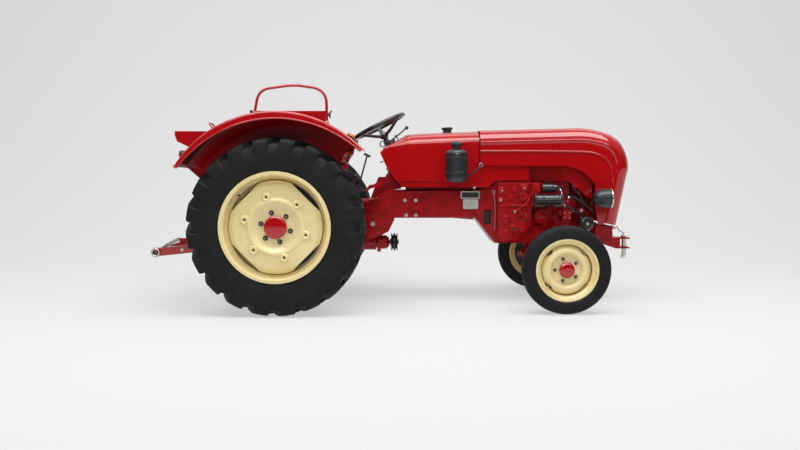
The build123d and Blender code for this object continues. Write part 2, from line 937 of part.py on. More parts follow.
with BuildPart() as tie_rod:
    with BuildSketch(at_side(-kingpin_y + 16)):
        with Locations((wheelbase - tie_arm, tie_z + 12)):
            Circle(11)
    extrude(amount=-2 * kingpin_y + 32)
    for side in (-1, 1):
        with BuildSketch(Plane.XY.offset(tie_z - 6 + seat_gap)):
            with Locations((wheelbase - tie_arm, side * kingpin_y)):
                Circle(19)
        extrude(amount=36)
        with BuildSketch(Plane.XY.offset(tie_z - 10)):
            with Locations((wheelbase - tie_arm, side * kingpin_y)):
                Circle(7 + running_gap)
        extrude(amount=38, mode=Mode.SUBTRACT)
save(tie_rod, "tie_rod")

# Steering gear: box, drop arm and drag link on the left, column and wheel
gear_x = 960.0
gear_z = 830.0
arm_y = 262.0
drag_front = (wheelbase, kingpin_y - drag_arm, drag_arm_z + 14 + seat_gap + 16)
drag_rear = (gear_x, arm_y + 26, gear_z - drop_arm_length)
column_tilt = 26.0
hub_x = 725.0
hub_z = 1271.0
wheel_radius = 205.0
wheel_tube = 14.0
dish = 88.0
up_column = Vector(-sin(radians(column_tilt)), 0, cos(radians(column_tilt)))


def column_plane(distance):
    """A plane square to the steering column, that far up from the wheel's hub."""
    return Plane(origin=Vector(hub_x, 0, hub_z) + up_column * distance, x_dir=(0, 1, 0), z_dir=up_column)


with BuildPart() as steering_gear:
    with BuildSketch(at_side(tunnel_half)):
        with Locations((gear_x, gear_z - 25)):
            RectangleRounded(150, 110, 25)
    extrude(amount=-70)
    with BuildSketch(at_side(tunnel_half + 70)):
        with Locations((gear_x, gear_z)):
            Circle(34)
    extrude(amount=-(arm_y - 14 - running_gap - tunnel_half - 70))
    with BuildSketch(column_plane(-20)):
        Circle(21)
    extrude(amount=-70)
    with BuildSketch(column_plane(-20)):
        Circle(10)
    extrude(amount=32)
    # hand throttle, clamped to the column
    with BuildSketch(column_plane(-46)):
        Circle(29)
    extrude(amount=-26)
    throttle_foot = Vector(hub_x, -20, hub_z) + up_column * -58
    throttle_tip = Vector(898, -60, 1331)
    with BuildSketch(Plane(origin=throttle_foot, z_dir=throttle_tip - throttle_foot)):
        Circle(5)
    extrude(amount=(throttle_tip - throttle_foot).length)
    with Locations(throttle_tip):
        Sphere(14)
save(steering_gear, "steering_gear")

with BuildPart() as drop_arm:
    with BuildSketch(at_side(arm_y - 14)):
        with BuildLine():
            Polyline(
                (gear_x - 28, gear_z),
                (gear_x - 20, gear_z + 20),
                (gear_x, gear_z + 28),
                (gear_x + 20, gear_z + 20),
                (gear_x + 28, gear_z),
                (gear_x + 17, gear_z - drop_arm_length),
                (gear_x, gear_z - drop_arm_length - 17),
                (gear_x - 17, gear_z - drop_arm_length),
                close=True,
            )
        make_face()
    extrude(amount=-14)
    with BuildSketch(at_side(arm_y)):
        with Locations((gear_x, gear_z - drop_arm_length)):
            Circle(8)
    extrude(amount=-44)
save(drop_arm, "drop_arm")

link_run = Vector(*drag_front) - Vector(*drag_rear)
with BuildPart() as drag_link:
    with BuildSketch(Plane(origin=Vector(*drag_rear), z_dir=link_run)):
        Circle(13)
    extrude(amount=link_run.length)
    with BuildSketch(at_side(drag_rear[1] - 20)):
        with Locations((drag_rear[0], drag_rear[2])):
            Circle(22)
    extrude(amount=-40)
    with BuildSketch(at_side(drag_rear[1] - 22)):
        with Locations((drag_rear[0], drag_rear[2])):
            Circle(8 + running_gap)
    extrude(amount=-44, mode=Mode.SUBTRACT)
    with BuildSketch(Plane.XY.offset(drag_front[2] - 16)):
        with Locations((drag_front[0], drag_front[1])):
            Circle(20)
    extrude(amount=34)
save(drag_link, "drag_link")

with BuildPart() as steering_wheel:
    rim_centre = Vector(hub_x, 0, hub_z) + up_column * dish
    rim_plane = Plane(origin=rim_centre, x_dir=(0, -1, 0), z_dir=Vector(0, 1, 0).cross(up_column))
    with BuildSketch(rim_plane):
        with Locations((wheel_radius, 0)):
            Circle(wheel_tube)
    revolve(axis=Axis(Vector(hub_x, 0, hub_z), up_column))
    with BuildSketch(column_plane(-18)):
        Circle(34)
    extrude(amount=46)
    spokes = 3
    for spoke in range(spokes):
        turn = radians(3 + spoke * 360 / spokes)
        plane = column_plane(0)
        outer = column_plane(dish).from_local_coords(
            Vector(wheel_radius * cos(turn), wheel_radius * sin(turn), 0)
        )
        inner = plane.from_local_coords(Vector(20 * cos(turn), 20 * sin(turn), 4))
        with BuildSketch(Plane(origin=inner, z_dir=outer - inner)):
            Circle(11)
        extrude(amount=(outer - inner).length)
    with BuildSketch(column_plane(-18)):
        Circle(10 + running_gap)
    extrude(amount=32, mode=Mode.SUBTRACT)
save(steering_wheel, "steering_wheel")


# Bonnet
grille_z = 850.0
grille_height = 440.0
grille_width = 220.0
grille_bars = 12
grille_pitch = 32.0
bonnet_rear_top = (seam_x - 40, 1306)
crown_end = (wheelbase + 146, 1325)
nose = (
    # ends of the arcs from the crown forward and down, then the end of the straight front
    (wheelbase + 396, 1286),
    (wheelbase + 514, 1192),
    (wheelbase + 561, 1060),
    (wheelbase + 550, 960),
    (wheelbase + 474, 579),
)
bead_z = 1147.0
bead_x = wheelbase + 423


def bonnet_form(inset, bottom):
    """The bonnet's outer form, or the form that far inside it."""
    with BuildPart() as form:
        with BuildSketch(at_side(0)):
            with BuildLine():
                edge = Line(bonnet_rear_top, crown_end)
                for start, end in zip((crown_end, *nose), nose[:4]):
                    edge = TangentArc(start, end, tangent=edge % 1)
                Polyline(
                    nose[3],
                    nose[4],
                    (nose[4][0] - 60, bottom - 60),
                    (bonnet_rear_top[0], bottom - 60),
                    bonnet_rear_top,
                )
            make_face()
            if inset:
                offset(amount=-inset)
        extrude(amount=bonnet_half - inset, both=True)
        rim = form.edges().filter_by(lambda e: abs(abs(e.center().Y) - bonnet_half + inset) < 0.1)
        upper = rim.filter_by(lambda e: e.center().Z > 620 and e.center().X > seam_x)
        fillet(upper, shoulder - inset)
    return form.part


with BuildPart() as bonnet:
    add(bonnet_form(0, 579))
    add(bonnet_form(skin, 520), mode=Mode.SUBTRACT)
    with BuildSketch(at_side(0)):
        with BuildLine():
            Polyline(
                (seam_x - 100, 400),
                (seam_x - 100, 1400),
                (seam_x, 1400),
                (seam_x, 1040),
                (wheelbase + 36, 1037),
            )
            RadiusArc((wheelbase + 36, 1037), (wheelbase + 292, 900), 230)
            Polyline(
                (wheelbase + 292, 900),
                (wheelbase + 297, 725),
                (wheelbase + 318, 597),
                (wheelbase + 596, 590),
                (wheelbase + 596, 400),
                (seam_x - 100, 400),
            )
        make_face()
    extrude(amount=400, both=True, mode=Mode.SUBTRACT)
    with BuildSketch(Plane.YZ.offset(wheelbase + 396)):
        with Locations((0, grille_z)):
            SlotOverall(grille_height, grille_width, rotation=90)
    extrude(amount=300, mode=Mode.SUBTRACT)
    for side in (-1, 1):
        with BuildLine(at_side(side * bonnet_half)):
            FilletPolyline((seam_x, bead_z), (bead_x, bead_z - 4), (bead_x + 1, 900), radius=190)
        with BuildSketch(Plane.YZ.offset(seam_x)):
            with Locations((side * bonnet_half, bead_z)):
                Circle(5)
        sweep()
        with BuildSketch(at_side(side * 152)):
            with Locations((hinge_x, hinge_z)):
                Circle(15)
            with BuildLine():
                Polyline(
                    (hinge_x, hinge_z - 12),
                    (hinge_x, hinge_z + 14),
                    (hinge_x + 16, hinge_z + 26),
                    (hinge_x + 16, hinge_z + 12),
                    close=True,
                )
            make_face()
            with Locations((hinge_x, hinge_z)):
                Circle(hinge_radius + running_gap, mode=Mode.SUBTRACT)
        extrude(amount=-side * 34)
save(bonnet, "bonnet")

with BuildPart() as grille:
    add(bonnet_form(1, 579))
    add(bonnet_form(9, 540), mode=Mode.SUBTRACT)
    height, width = grille_height - 2 * seat_gap, grille_width - 2 * seat_gap
    with BuildSketch(Plane.YZ.offset(wheelbase + 396)):
        with Locations((0, grille_z)):
            SlotOverall(height, width, rotation=90)
            SlotOverall(grille_height - 24, grille_width - 24, rotation=90, mode=Mode.SUBTRACT)
            Rectangle(12, grille_height - 20)
            with GridLocations(1, grille_pitch, 1, grille_bars):
                Rectangle(grille_width - 20, 11)
            SlotOverall(height, width, rotation=90, mode=Mode.INTERSECT)
    extrude(amount=300, mode=Mode.INTERSECT)
save(grille, "grille")

lamp_y = 356.0
lamp_z = 799.0
lamp_radius = 72.0
lamp_back = wheelbase + 256
lamp_front = wheelbase + 388
with BuildPart() as head_lamps:
    for side in (-1, 1):
        with BuildSketch(Plane(origin=(0, side * lamp_y, lamp_z), x_dir=(1, 0, 0), z_dir=(0, -1, 0))):
            with BuildLine():
                Line((lamp_back, 0), (lamp_back, 22))
                ThreePointArc((lamp_back, 22), (lamp_back + 42, 60), (lamp_front - 16, lamp_radius - 2))
                Polyline(
                    (lamp_front - 16, lamp_radius - 2),
                    (lamp_front, lamp_radius),
                    (lamp_front, 0),
                    (lamp_back, 0),
                )
            make_face()
        revolve(axis=Axis((0, side * lamp_y, lamp_z), (1, 0, 0)))
        with BuildSketch(at_side(side * (lamp_y - 60))):
            with Locations((lamp_back + 62, lamp_z)):
                Circle(14)
        extrude(amount=side * (lamp_y - 60 - bonnet_half))
save(head_lamps, "head_lamps")

# Tank cowl with the side skirts that run on under the bonnet
dash_rear, dash_front = (732, 1186), (822, 1238)
dash_end = (900, 1284)
ridge_share = 127 / 270         # the kink in the crown, of the way from the dash to the seam
cowl_ridge = (dash_end[0] + (seam_x - dash_end[0]) * ridge_share, 1296)
skirt_bottom = 930.0
with BuildPart() as tank_cowl:
    with BuildSketch(at_side(0)):
        with BuildLine():
            Polyline(
                (868, cowl_bottom),
                (812, 933),
                (761, 1001),
                (695, 1143),
                dash_rear,
                dash_front,
                dash_end,
                cowl_ridge,
                (seam_x - panel_gap, 1305),
                (seam_x - panel_gap, cowl_bottom),
                close=True,
            )
        make_face()
    extrude(amount=cowl_half, both=True)
    rim = edges().filter_by(lambda e: abs(abs(e.center().Y) - cowl_half) < 0.1)
    fillet(rim.filter_by(lambda e: e.center().Z > 1250), 70)
    with BuildSketch(at_side(0)):
        with BuildLine():
            Polyline(
                (seam_x - 60, cowl_bottom),
                (seam_x + 63, cowl_bottom),
                (seam_x + 118, skirt_bottom),
                (seam_x + 368, skirt_bottom),
                (seam_x + 368, 1060),
                (seam_x - 60, 1060),
                close=True,
            )
        make_face()
    extrude(amount=cowl_half - 6, both=True)
    with BuildSketch(at_side(0)):
        with BuildLine():
            Polyline(
                (seam_x - panel_gap, cowl_bottom - 20),
                (seam_x - panel_gap, 1200),
                (seam_x + 460, 1200),
                (seam_x + 460, cowl_bottom - 20),
                close=True,
            )
        make_face()
    extrude(amount=cowl_half - 12, both=True, mode=Mode.SUBTRACT)
    with BuildSketch(column_plane(-46)):
        Circle(29 + seat_gap)
    extrude(amount=-26 - seat_gap, mode=Mode.SUBTRACT)
    with BuildSketch(column_plane(-60)):
        Circle(21 + seat_gap)
    extrude(amount=-60, mode=Mode.SUBTRACT)
    # the rims of the two gauges on the sloping dash
    slope = atan2(dash_front[1] - dash_rear[1], dash_front[0] - dash_rear[0])
    for y in (-110, 110):
        gauge = Plane(
            origin=((dash_rear[0] + dash_front[0]) / 2, y, (dash_rear[1] + dash_front[1]) / 2),
            x_dir=(0, 1, 0),
            z_dir=(-sin(slope), 0, cos(slope)),
        )
        with BuildSketch(gauge):
            Circle(40)
            Circle(34, mode=Mode.SUBTRACT)
        extrude(amount=7)
save(tank_cowl, "tank_cowl")

with BuildPart() as filler_cap:
    rise = (1305 - cowl_ridge[1]) / (seam_x - panel_gap - cowl_ridge[0])
    cap_x = (cowl_ridge[0] + seam_x) / 2 - 85
    cap_foot = Vector(cap_x, 0, cowl_ridge[1] + (cap_x - cowl_ridge[0]) * rise)
    cap_way = Vector(-rise, 0, 1).normalized()
    with BuildSketch(Plane(origin=cap_foot + cap_way * seat_gap, z_dir=cap_way)):
        Circle(32)
    extrude(amount=22)
    with BuildSketch(Plane(origin=cap_foot + cap_way * (22 + seat_gap), z_dir=cap_way)):
        RegularPolygon(40, 16)
    extrude(amount=16)
save(filler_cap, "filler_cap")

cleaner_x = seam_x - 182
with BuildPart() as air_cleaner:
    with BuildSketch(Plane(origin=(cleaner_x, -362, 0), x_dir=(1, 0, 0), z_dir=(0, -1, 0))):
        with BuildLine():
            Polyline(
                (0, 919),
                (62, 919),
                (80, 940),
                (82, 1120),
                (66, 1151),
                (30, 1156),
                (30, 1180),
                (42, 1184),
                (42, 1200),
                (24, 1214),
                (0, 1216),
                close=True,
            )
        make_face()
    revolve(axis=Axis((cleaner_x, -362, 0), (0, 0, 1)))
    with BuildSketch(Plane.XY.offset(1020)):
        with Locations((cleaner_x, -300)):
            Rectangle(60, 2 * (300 - cowl_half - seat_gap))
    extrude(amount=60)
save(air_cleaner, "air_cleaner")


# Mudguards
def on_guard(angle, radius):
    """The point of the side view at that angle and radius about the centre of the mudguards' arc."""
    return (guard_arc_x + radius * cos(radians(angle)), guard_arc_z + radius * sin(radians(angle)))


plate_z = 775.0                 # underside of the footplates
plate_drop = 189.0              # from there down to the point that the walls' front corners turn about
wall_rear = ((148.8, 149), (157.3, 349))
wall_fronts = {
    # corners of the inner wall's front edge from below, in degrees and radius about that point
    "right": ((29.0, 369), (41.6, 472), (45.7, 620)),
    "left": ((28.3, 378), (48.5, 593)),
}
for name, side in sides:
    with BuildPart() as mudguard:
        front_angle = guard_front_angles[name]
        middle_angle = (front_angle + guard_rear_angle) / 2
        front = radians(front_angle)
        section = Plane(
            origin=(guard_arc_x, 0, guard_arc_z),
            x_dir=(cos(front), 0, sin(front)),
            z_dir=(-side * sin(front), 0, side * cos(front)),
        )
        with BuildSketch(section):
            with BuildLine():
                Polyline(
                    (guard_arc_radius, guard_inner),
                    (guard_arc_radius, guard_outer),
                    (guard_arc_radius - guard_lip, guard_outer),
                    (guard_arc_radius - guard_lip, guard_outer - skin),
                    (guard_arc_radius - skin, guard_outer - skin),
                    (guard_arc_radius - skin, guard_inner),
                    close=True,
                )
            make_face()
        revolve(axis=across(guard_arc_x, guard_arc_z), revolution_arc=front_angle - guard_rear_angle)
        # the lip narrows toward both ends, and a wire is rolled into its edge
        lip_start = on_guard(front_angle, guard_arc_radius - guard_lip_end)
        lip_middle = on_guard(middle_angle, guard_arc_radius - guard_lip)
        lip_end = on_guard(guard_rear_angle, guard_arc_radius - guard_lip_end)
        with BuildSketch(at_side(side * (guard_outer - skin))):
            with BuildLine():
                ThreePointArc(lip_start, lip_middle, lip_end)
                Polyline(lip_end, (guard_arc_x, guard_arc_z), lip_start)
            make_face()
        extrude(amount=-side * 2 * skin, mode=Mode.SUBTRACT)
        with BuildLine(at_side(side * (guard_outer - skin / 2))):
            edge = ThreePointArc(lip_start, lip_middle, lip_end)
        with BuildSketch(Plane(origin=edge @ 0, z_dir=edge % 0)):
            Circle(guard_bead)
        sweep()
        for angle in (front_angle, guard_rear_angle):
            with BuildSketch(at_side(side * guard_inner)):
                with Locations(on_guard(angle, guard_arc_radius - skin / 2)):
                    Circle(guard_bead)
            extrude(amount=-side * (guard_outer - guard_inner))
        with BuildSketch(at_side(side * guard_inner)):
            with BuildLine():
                start = on_guard(front_angle + guard_wall_setback, guard_arc_radius - skin / 2)
                middle = on_guard(middle_angle, guard_arc_radius - skin / 2)
                end = on_guard(guard_rear_angle, guard_arc_radius - skin / 2)
                ThreePointArc(start, middle, end)
                corners = [on_guard(angle, guard_arc_radius - depth) for angle, depth in wall_rear]
                foot_z = plate_z - plate_drop
                for angle, reach in wall_fronts[name]:
                    angle = radians(angle)
                    corners.append((guard_arc_x + reach * cos(angle), foot_z + reach * sin(angle)))
                Polyline(end, *corners, start)
            make_face()
        extrude(amount=-side * skin)
    save(mudguard, f"mudguard_{name}")

with BuildPart() as footplates:
    for side in (-1, 1):
        with BuildSketch(at_side(side * (gearbox_half + 5))):
            with BuildLine():
                Polyline(
                    (150, plate_z),
                    (580, plate_z),
                    (690, plate_z + 31),
                    (690, plate_z + 37),
                    (578, plate_z + 6),
                    (150, plate_z + 6),
                    close=True,
                )
            make_face()
        extrude(amount=-side * (guard_inner - gearbox_half - 5))
        with BuildSketch(at_side(side * gearbox_half)):
            with Locations((300, 740)):
                Rectangle(40, 69.5)
        extrude(amount=-side * 120)
save(footplates, "footplates")

tray_angle = 124.3      # where the tray meets the mudguards' arc
tray_front, tray_foot = on_guard(tray_angle, guard_arc_radius)
tray_rear = tray_front - 308
tray_top = tray_foot + 25
with BuildPart() as rear_tray:
    with BuildSketch(at_side(0)):
        with BuildLine():
            Polyline(
                (tray_rear, tray_top),
                (tray_rear, tray_top - 30),
                (tray_rear + skin, tray_top - 30),
                (tray_rear + skin, tray_top - skin),
                (tray_front, tray_top - skin),
                (tray_front, tray_top),
                close=True,
            )
        make_face()
    extrude(amount=guard_inner, both=True)
    for side in (-1, 1):
        with BuildSketch(at_side(side * guard_inner)):
            with BuildLine():
                Polyline(
                    (tray_rear, tray_top),
                    (tray_rear, tray_top - 30),
                    (tray_rear + 16, tray_top - 73),
                    (tray_rear + 32, tray_top - 81),
                    (tray_rear + 138, tray_top - 132),
                    (tray_front, tray_top - 132),
                    (tray_front, tray_top),
                    close=True,
                )
            make_face()
        extrude(amount=side * skin)
save(rear_tray, "rear_tray")

seat_rear, seat_front = -150, 341
seat_top = guard_top + 5
guard_seat = guard_arc_radius + seat_gap
with BuildPart() as fender_seat:
    with BuildSketch(at_side(-guard_inner - 70)):
        with BuildLine():
            low_rear = (seat_rear, guard_arc_z + (guard_seat**2 - (seat_rear - guard_arc_x) ** 2) ** 0.5)
            low_front = (seat_front, guard_arc_z + (guard_seat**2 - (seat_front - guard_arc_x) ** 2) ** 0.5)
            RadiusArc(low_rear, low_front, guard_seat)
            Polyline(low_front, (seat_front, seat_top), (seat_rear, seat_top), low_rear)
        make_face()
    extrude(amount=guard_outer - guard_inner - 152)
save(fender_seat, "fender_seat")

rail_y = -guard_outer + 60
rail_feet = (99.9, 64.9)    # angles round the mudguard's arc
rear_foot, front_foot = (on_guard(angle, guard_seat + 5) for angle in rail_feet)
with BuildPart() as seat_rail:
    bends = ((-104, guard_top + 152), (144, guard_top + 180), (352, guard_top + 150))
    with BuildLine(at_side(rail_y)):
        tube = FilletPolyline(rear_foot, *bends, front_foot, radius=(75, 300, 75))
    with BuildSketch(Plane(origin=tube @ 0, z_dir=tube % 0)):
        Circle(9.5)
    sweep()
    for angle in rail_feet:
        x, z = on_guard(angle, guard_seat)
        with BuildSketch(Plane(origin=(x, rail_y, z), z_dir=(cos(radians(angle)), 0, sin(radians(angle))))):
            Circle(19)
        extrude(amount=7)
save(seat_rail, "seat_rail")

guard_lamp_y = guard_inner + 150
with BuildPart() as fender_lamps:
    for side, front_lamp in ((-1, 52.4), (1, 56.0)):
        with BuildSketch(at_side(side * (guard_lamp_y - 15))):
            with BuildLine():
                low, high = on_guard(143, guard_seat), on_guard(138.5, guard_seat)
                RadiusArc(low, high, guard_seat)
                Polyline(high, on_guard(139.2, guard_seat + 38), on_guard(143, guard_seat + 34), low)
            make_face()
        extrude(amount=-side * 30)
        back, lamp_height = on_guard(141.6, guard_seat + 35)
        with BuildSketch(Plane.YZ.offset(back - 29)):
            with Locations((side * guard_lamp_y, lamp_height)):
                Circle(27)
        extrude(amount=46)
        foot, foot_height = on_guard(front_lamp, guard_seat)
        slope = radians(front_lamp)
        lamp_plane = Plane(origin=(foot, side * guard_lamp_y, foot_height), z_dir=(cos(slope), 0, sin(slope)))
        with BuildSketch(lamp_plane):
            Circle(30)
        extrude(amount=30)
save(fender_lamps, "fender_lamps")

pan = ((400, 1170), (170, 1150), (90, 1190), (40, 1340))
pan_half = 200.0
pan_flange = 5.0
with BuildPart() as driver_seat:
    with BuildSketch(at_side(-pan_half)):
        with BuildLine():
            Polyline(*pan, (46, 1342), (97, 1196), (172, 1158), (398, 1178), close=True)
        make_face()
    extrude(amount=-2 * pan_half)
    for side in (-1, 1):
        with BuildSketch(at_side(side * pan_half)):
            with BuildLine():
                Polyline(*pan, (70, 1340), (122, 1222), (184, 1194), (390, 1198), close=True)
            make_face()
        extrude(amount=side * pan_flange)
save(driver_seat, "driver_seat")

with BuildPart() as seat_spring:
    with BuildSketch(at_side(-30)):
        with BuildLine():
            Polyline(
                (60, gearbox_top + seat_gap),
                (60, 830),
                (330, 1000),
                (330, 1040),
                (240, 1150),
                (250, 1156),
                (342, 1044),
                (342, 992),
                (150, 850),
                (150, gearbox_top + seat_gap),
                close=True,
            )
        make_face()
    extrude(amount=-60)
save(seat_spring, "seat_spring")

# Rear linkage
lift_x = -190.0
lift_z = 930.0
with BuildPart() as lift_housing:
    with BuildSketch(at_side(0)):
        with BuildLine():
            Polyline(
                (gearbox_rear - 10, gearbox_top + seat_gap),
                (gearbox_rear - 10, 960),
                (-230, 1000),
                (-100, 1000),
                (40, 900),
                (40, gearbox_top + seat_gap),
                close=True,
            )
        make_face()
    extrude(amount=140, both=True)
    for side in (-1, 1):
        with BuildSketch(at_side(side * 22)):
            with BuildLine():
                rear = gearbox_rear - 10
                Polyline((rear, 820), (rear, 940), (rear - 55, 900), (rear - 55, 850), close=True)
            make_face()
        extrude(amount=-side * 14)
        with BuildSketch(at_side(side * 20)):
            with Locations((-325, 875)):
                Circle(9.8)
        extrude(amount=-side * 18, mode=Mode.SUBTRACT)
save(lift_housing, "lift_housing")

arm_reach = 300.0
arm_rest = -12.0
arm_tip = (lift_x - arm_reach * cos(radians(arm_rest)), lift_z + arm_reach * sin(radians(arm_rest)))
link_angle = atan2(link_end_z - link_pivot_z, link_end_x - link_pivot_x)
rod_on_link = 380.0
rod_foot = (link_pivot_x + rod_on_link * cos(link_angle), link_pivot_z + rod_on_link * sin(link_angle))
lift_arm_y = 200.0
with BuildPart() as lift_arms:
    with BuildSketch(at_side(-lift_arm_y)):
        with Locations((lift_x, lift_z)):
            Circle(22)
    extrude(amount=-(lift_arm_y - 140 - seat_gap))
    with BuildSketch(at_side(lift_arm_y)):
        with Locations((lift_x, lift_z)):
            Circle(22)
    extrude(amount=lift_arm_y - 140 - seat_gap)
    for side in (-1, 1):
        with BuildSketch(at_side(side * lift_arm_y)):
            with BuildLine():
                Polyline(
                    (lift_x + 34, lift_z),
                    (lift_x, lift_z + 34),
                    (arm_tip[0] - 6, arm_tip[1] + 20),
                    (arm_tip[0] - 20, arm_tip[1]),
                    (arm_tip[0] - 6, arm_tip[1] - 20),
                    (lift_x, lift_z - 34),
                    close=True,
                )
            make_face()
        extrude(amount=-side * 22)
        with BuildSketch(at_side(side * (lift_arm_y + 22))):
            with Locations(arm_tip):
                Circle(9)
        extrude(amount=-side * 44)
save(lift_arms, "lift_arms")

rod_y = lift_arm_y + 44
rod_foot_y = link_y - 28
with BuildPart() as lift_rods:
    for side in (-1, 1):
        top = Vector(arm_tip[0], side * rod_y, arm_tip[1])
        foot = Vector(rod_foot[0], side * rod_foot_y, rod_foot[1])
        with BuildSketch(Plane(origin=top, z_dir=foot - top)):
            Circle(10)
        extrude(amount=(foot - top).length - 12)
        with BuildSketch(at_side(side * (rod_y - 14))):
            with Locations(arm_tip):
                Circle(20)
        extrude(amount=-side * 28)
        with BuildSketch(at_side(side * (rod_foot_y - 8))):
            with Locations(rod_foot):
                Circle(20)
        extrude(amount=-side * 16)
        with BuildSketch(at_side(side * (rod_y - 16))):
            with Locations(arm_tip):
                Circle(9 + running_gap)
        extrude(amount=-side * 32, mode=Mode.SUBTRACT)
save(lift_rods, "lift_rods")

along_link = Vector(link_end_x - link_pivot_x, 0, link_end_z - link_pivot_z)
with BuildPart() as lower_links:
    for side in (-1, 1):
        with BuildSketch(
            Plane(origin=(link_pivot_x, side * link_y, link_pivot_z), x_dir=(0, 1, 0), z_dir=along_link)
        ):
            Rectangle(18, 58)
        extrude(amount=along_link.length - 20)
        for x, z, radius in ((link_pivot_x, link_pivot_z, 32), (link_end_x, link_end_z, link_ball_radius)):
            with BuildSketch(at_side(side * (link_y - 20))):
                with Locations((x, z)):
                    Circle(radius)
            extrude(amount=-side * 40)
        with BuildSketch(at_side(side * (link_y - 22))):
            with Locations((link_pivot_x, link_pivot_z)):
                Circle(14 + running_gap)
        extrude(amount=-side * 44, mode=Mode.SUBTRACT)
        with BuildSketch(at_side(side * (rod_foot_y + 10))):
            with Locations(rod_foot):
                Circle(14)
        extrude(amount=-side * (link_y - rod_foot_y - 10))
    with BuildSketch(at_side(-link_y)):
        with Locations((link_end_x, link_end_z)):
            Rectangle(30, 56)
    extrude(amount=-2 * link_y)
    with BuildSketch(Plane.YZ.offset(link_end_x - 40)):
        with GridLocations(90, 1, 7, 1):
            with Locations((0, link_end_z)):
                Circle(12.5)
    extrude(amount=80, mode=Mode.SUBTRACT)
save(lower_links, "lower_links")

lever_tip = Vector(598, -100, 1121)
grip = Vector(24, 0, -12)       # half of the cross grip on the tall lever
with BuildPart() as controls:
    for start, end, radius in (
        # foot, tip, radius
        ((504, -60, gearbox_top + 8), lever_tip, 7),
        ((470, 70, gearbox_top + 8), (500, 90, 960), 6),
        (lever_tip - grip, lever_tip + grip, 10),
    ):
        foot, tip = Vector(*start), Vector(*end)
        with BuildSketch(Plane(origin=foot, z_dir=tip - foot)):
            Circle(radius)
        extrude(amount=(tip - foot).length)
    with Locations((500, 90, 960)):
        Sphere(14)
    for x, y in ((504, -60), (470, 70)):
        with BuildSketch(Plane.XY.offset(gearbox_top + seat_gap)):
            with Locations((x, y)):
                Circle(20)
        extrude(amount=14)
save(controls, "controls")
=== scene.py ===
import bmesh
import bpy
import numpy as np
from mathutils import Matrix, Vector


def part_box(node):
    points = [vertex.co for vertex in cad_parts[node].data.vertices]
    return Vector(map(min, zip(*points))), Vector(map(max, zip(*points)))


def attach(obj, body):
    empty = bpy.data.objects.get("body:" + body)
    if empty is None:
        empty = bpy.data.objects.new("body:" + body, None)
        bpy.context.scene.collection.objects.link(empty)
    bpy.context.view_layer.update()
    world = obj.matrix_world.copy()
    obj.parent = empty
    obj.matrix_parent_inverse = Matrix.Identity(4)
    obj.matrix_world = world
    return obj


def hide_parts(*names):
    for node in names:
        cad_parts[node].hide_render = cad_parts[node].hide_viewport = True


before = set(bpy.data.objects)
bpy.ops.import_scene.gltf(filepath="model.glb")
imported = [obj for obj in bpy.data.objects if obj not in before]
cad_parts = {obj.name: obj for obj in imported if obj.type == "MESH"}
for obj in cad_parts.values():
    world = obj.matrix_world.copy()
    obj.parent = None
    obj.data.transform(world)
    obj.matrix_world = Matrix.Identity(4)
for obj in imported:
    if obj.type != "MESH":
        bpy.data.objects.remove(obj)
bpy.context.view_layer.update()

# Everything below is in metres. Forward distances are measured from the rear axle,
# and makePiece moves them by rearAxleX into the frame.
lowTyre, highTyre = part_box("rear_tyre_right")
rearAxleX = (lowTyre.x + highTyre.x) / 2
rearAxleZ = (lowTyre.z + highTyre.z) / 2
rearWheelY = -(lowTyre.y + highTyre.y) / 2
lowFront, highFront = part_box("front_tyre_right")
frontAxleX = (lowFront.x + highFront.x) / 2 - rearAxleX
frontAxleZ = (lowFront.z + highFront.z) / 2
frontWheelY = -(lowFront.y + highFront.y) / 2
sides = (("right", -1), ("left", 1))
forward, leftward, upward = (1, 0, 0), (0, 1, 0), (0, 0, 1)
backward, rightward = (-1, 0, 0), (0, -1, 0)


# Surfaces

def gridFaces(rows, columns, wrapRows=False, wrapColumns=False):
    # four neighbours of a grid of points make one face, and the grid may close on itself either way
    row = np.arange(rows if wrapRows else rows - 1)
    column = np.arange(columns if wrapColumns else columns - 1)
    a, b = np.meshgrid(row, column, indexing="ij")
    nextA, nextB = (a + 1) % rows, (b + 1) % columns
    corners = (a * columns + b, nextA * columns + b, nextA * columns + nextB, a * columns + nextB)
    return np.stack(corners, -1).reshape(-1, 4)


def crossFrame(axis):
    # two directions square to the axis and to each other
    axis = np.array(axis, float) / np.linalg.norm(axis)
    other = np.array((0, 0, 1.0)) if abs(axis[2]) < 0.9 else np.array((1.0, 0, 0))
    first = np.cross(other, axis)
    first /= np.linalg.norm(first)
    return axis, first, np.cross(axis, first)


def turned(profile, origin, axis, steps=96, closed=False, start=0.0):
    # origin + distance along the axis + radius times (cos, sin) of the angle round it
    profile = np.array(profile, float)
    axis, first, second = crossFrame(axis)
    angle = start + np.linspace(0, 2 * np.pi, steps, endpoint=False)
    ring = np.cos(angle)[:, None] * first + np.sin(angle)[:, None] * second
    along, out = profile[:, 0, None, None], profile[:, 1, None, None]
    points = np.array(origin, float) + along * axis + out * ring[None]
    return points.reshape(-1, 3), [gridFaces(len(profile), steps, closed, True)]


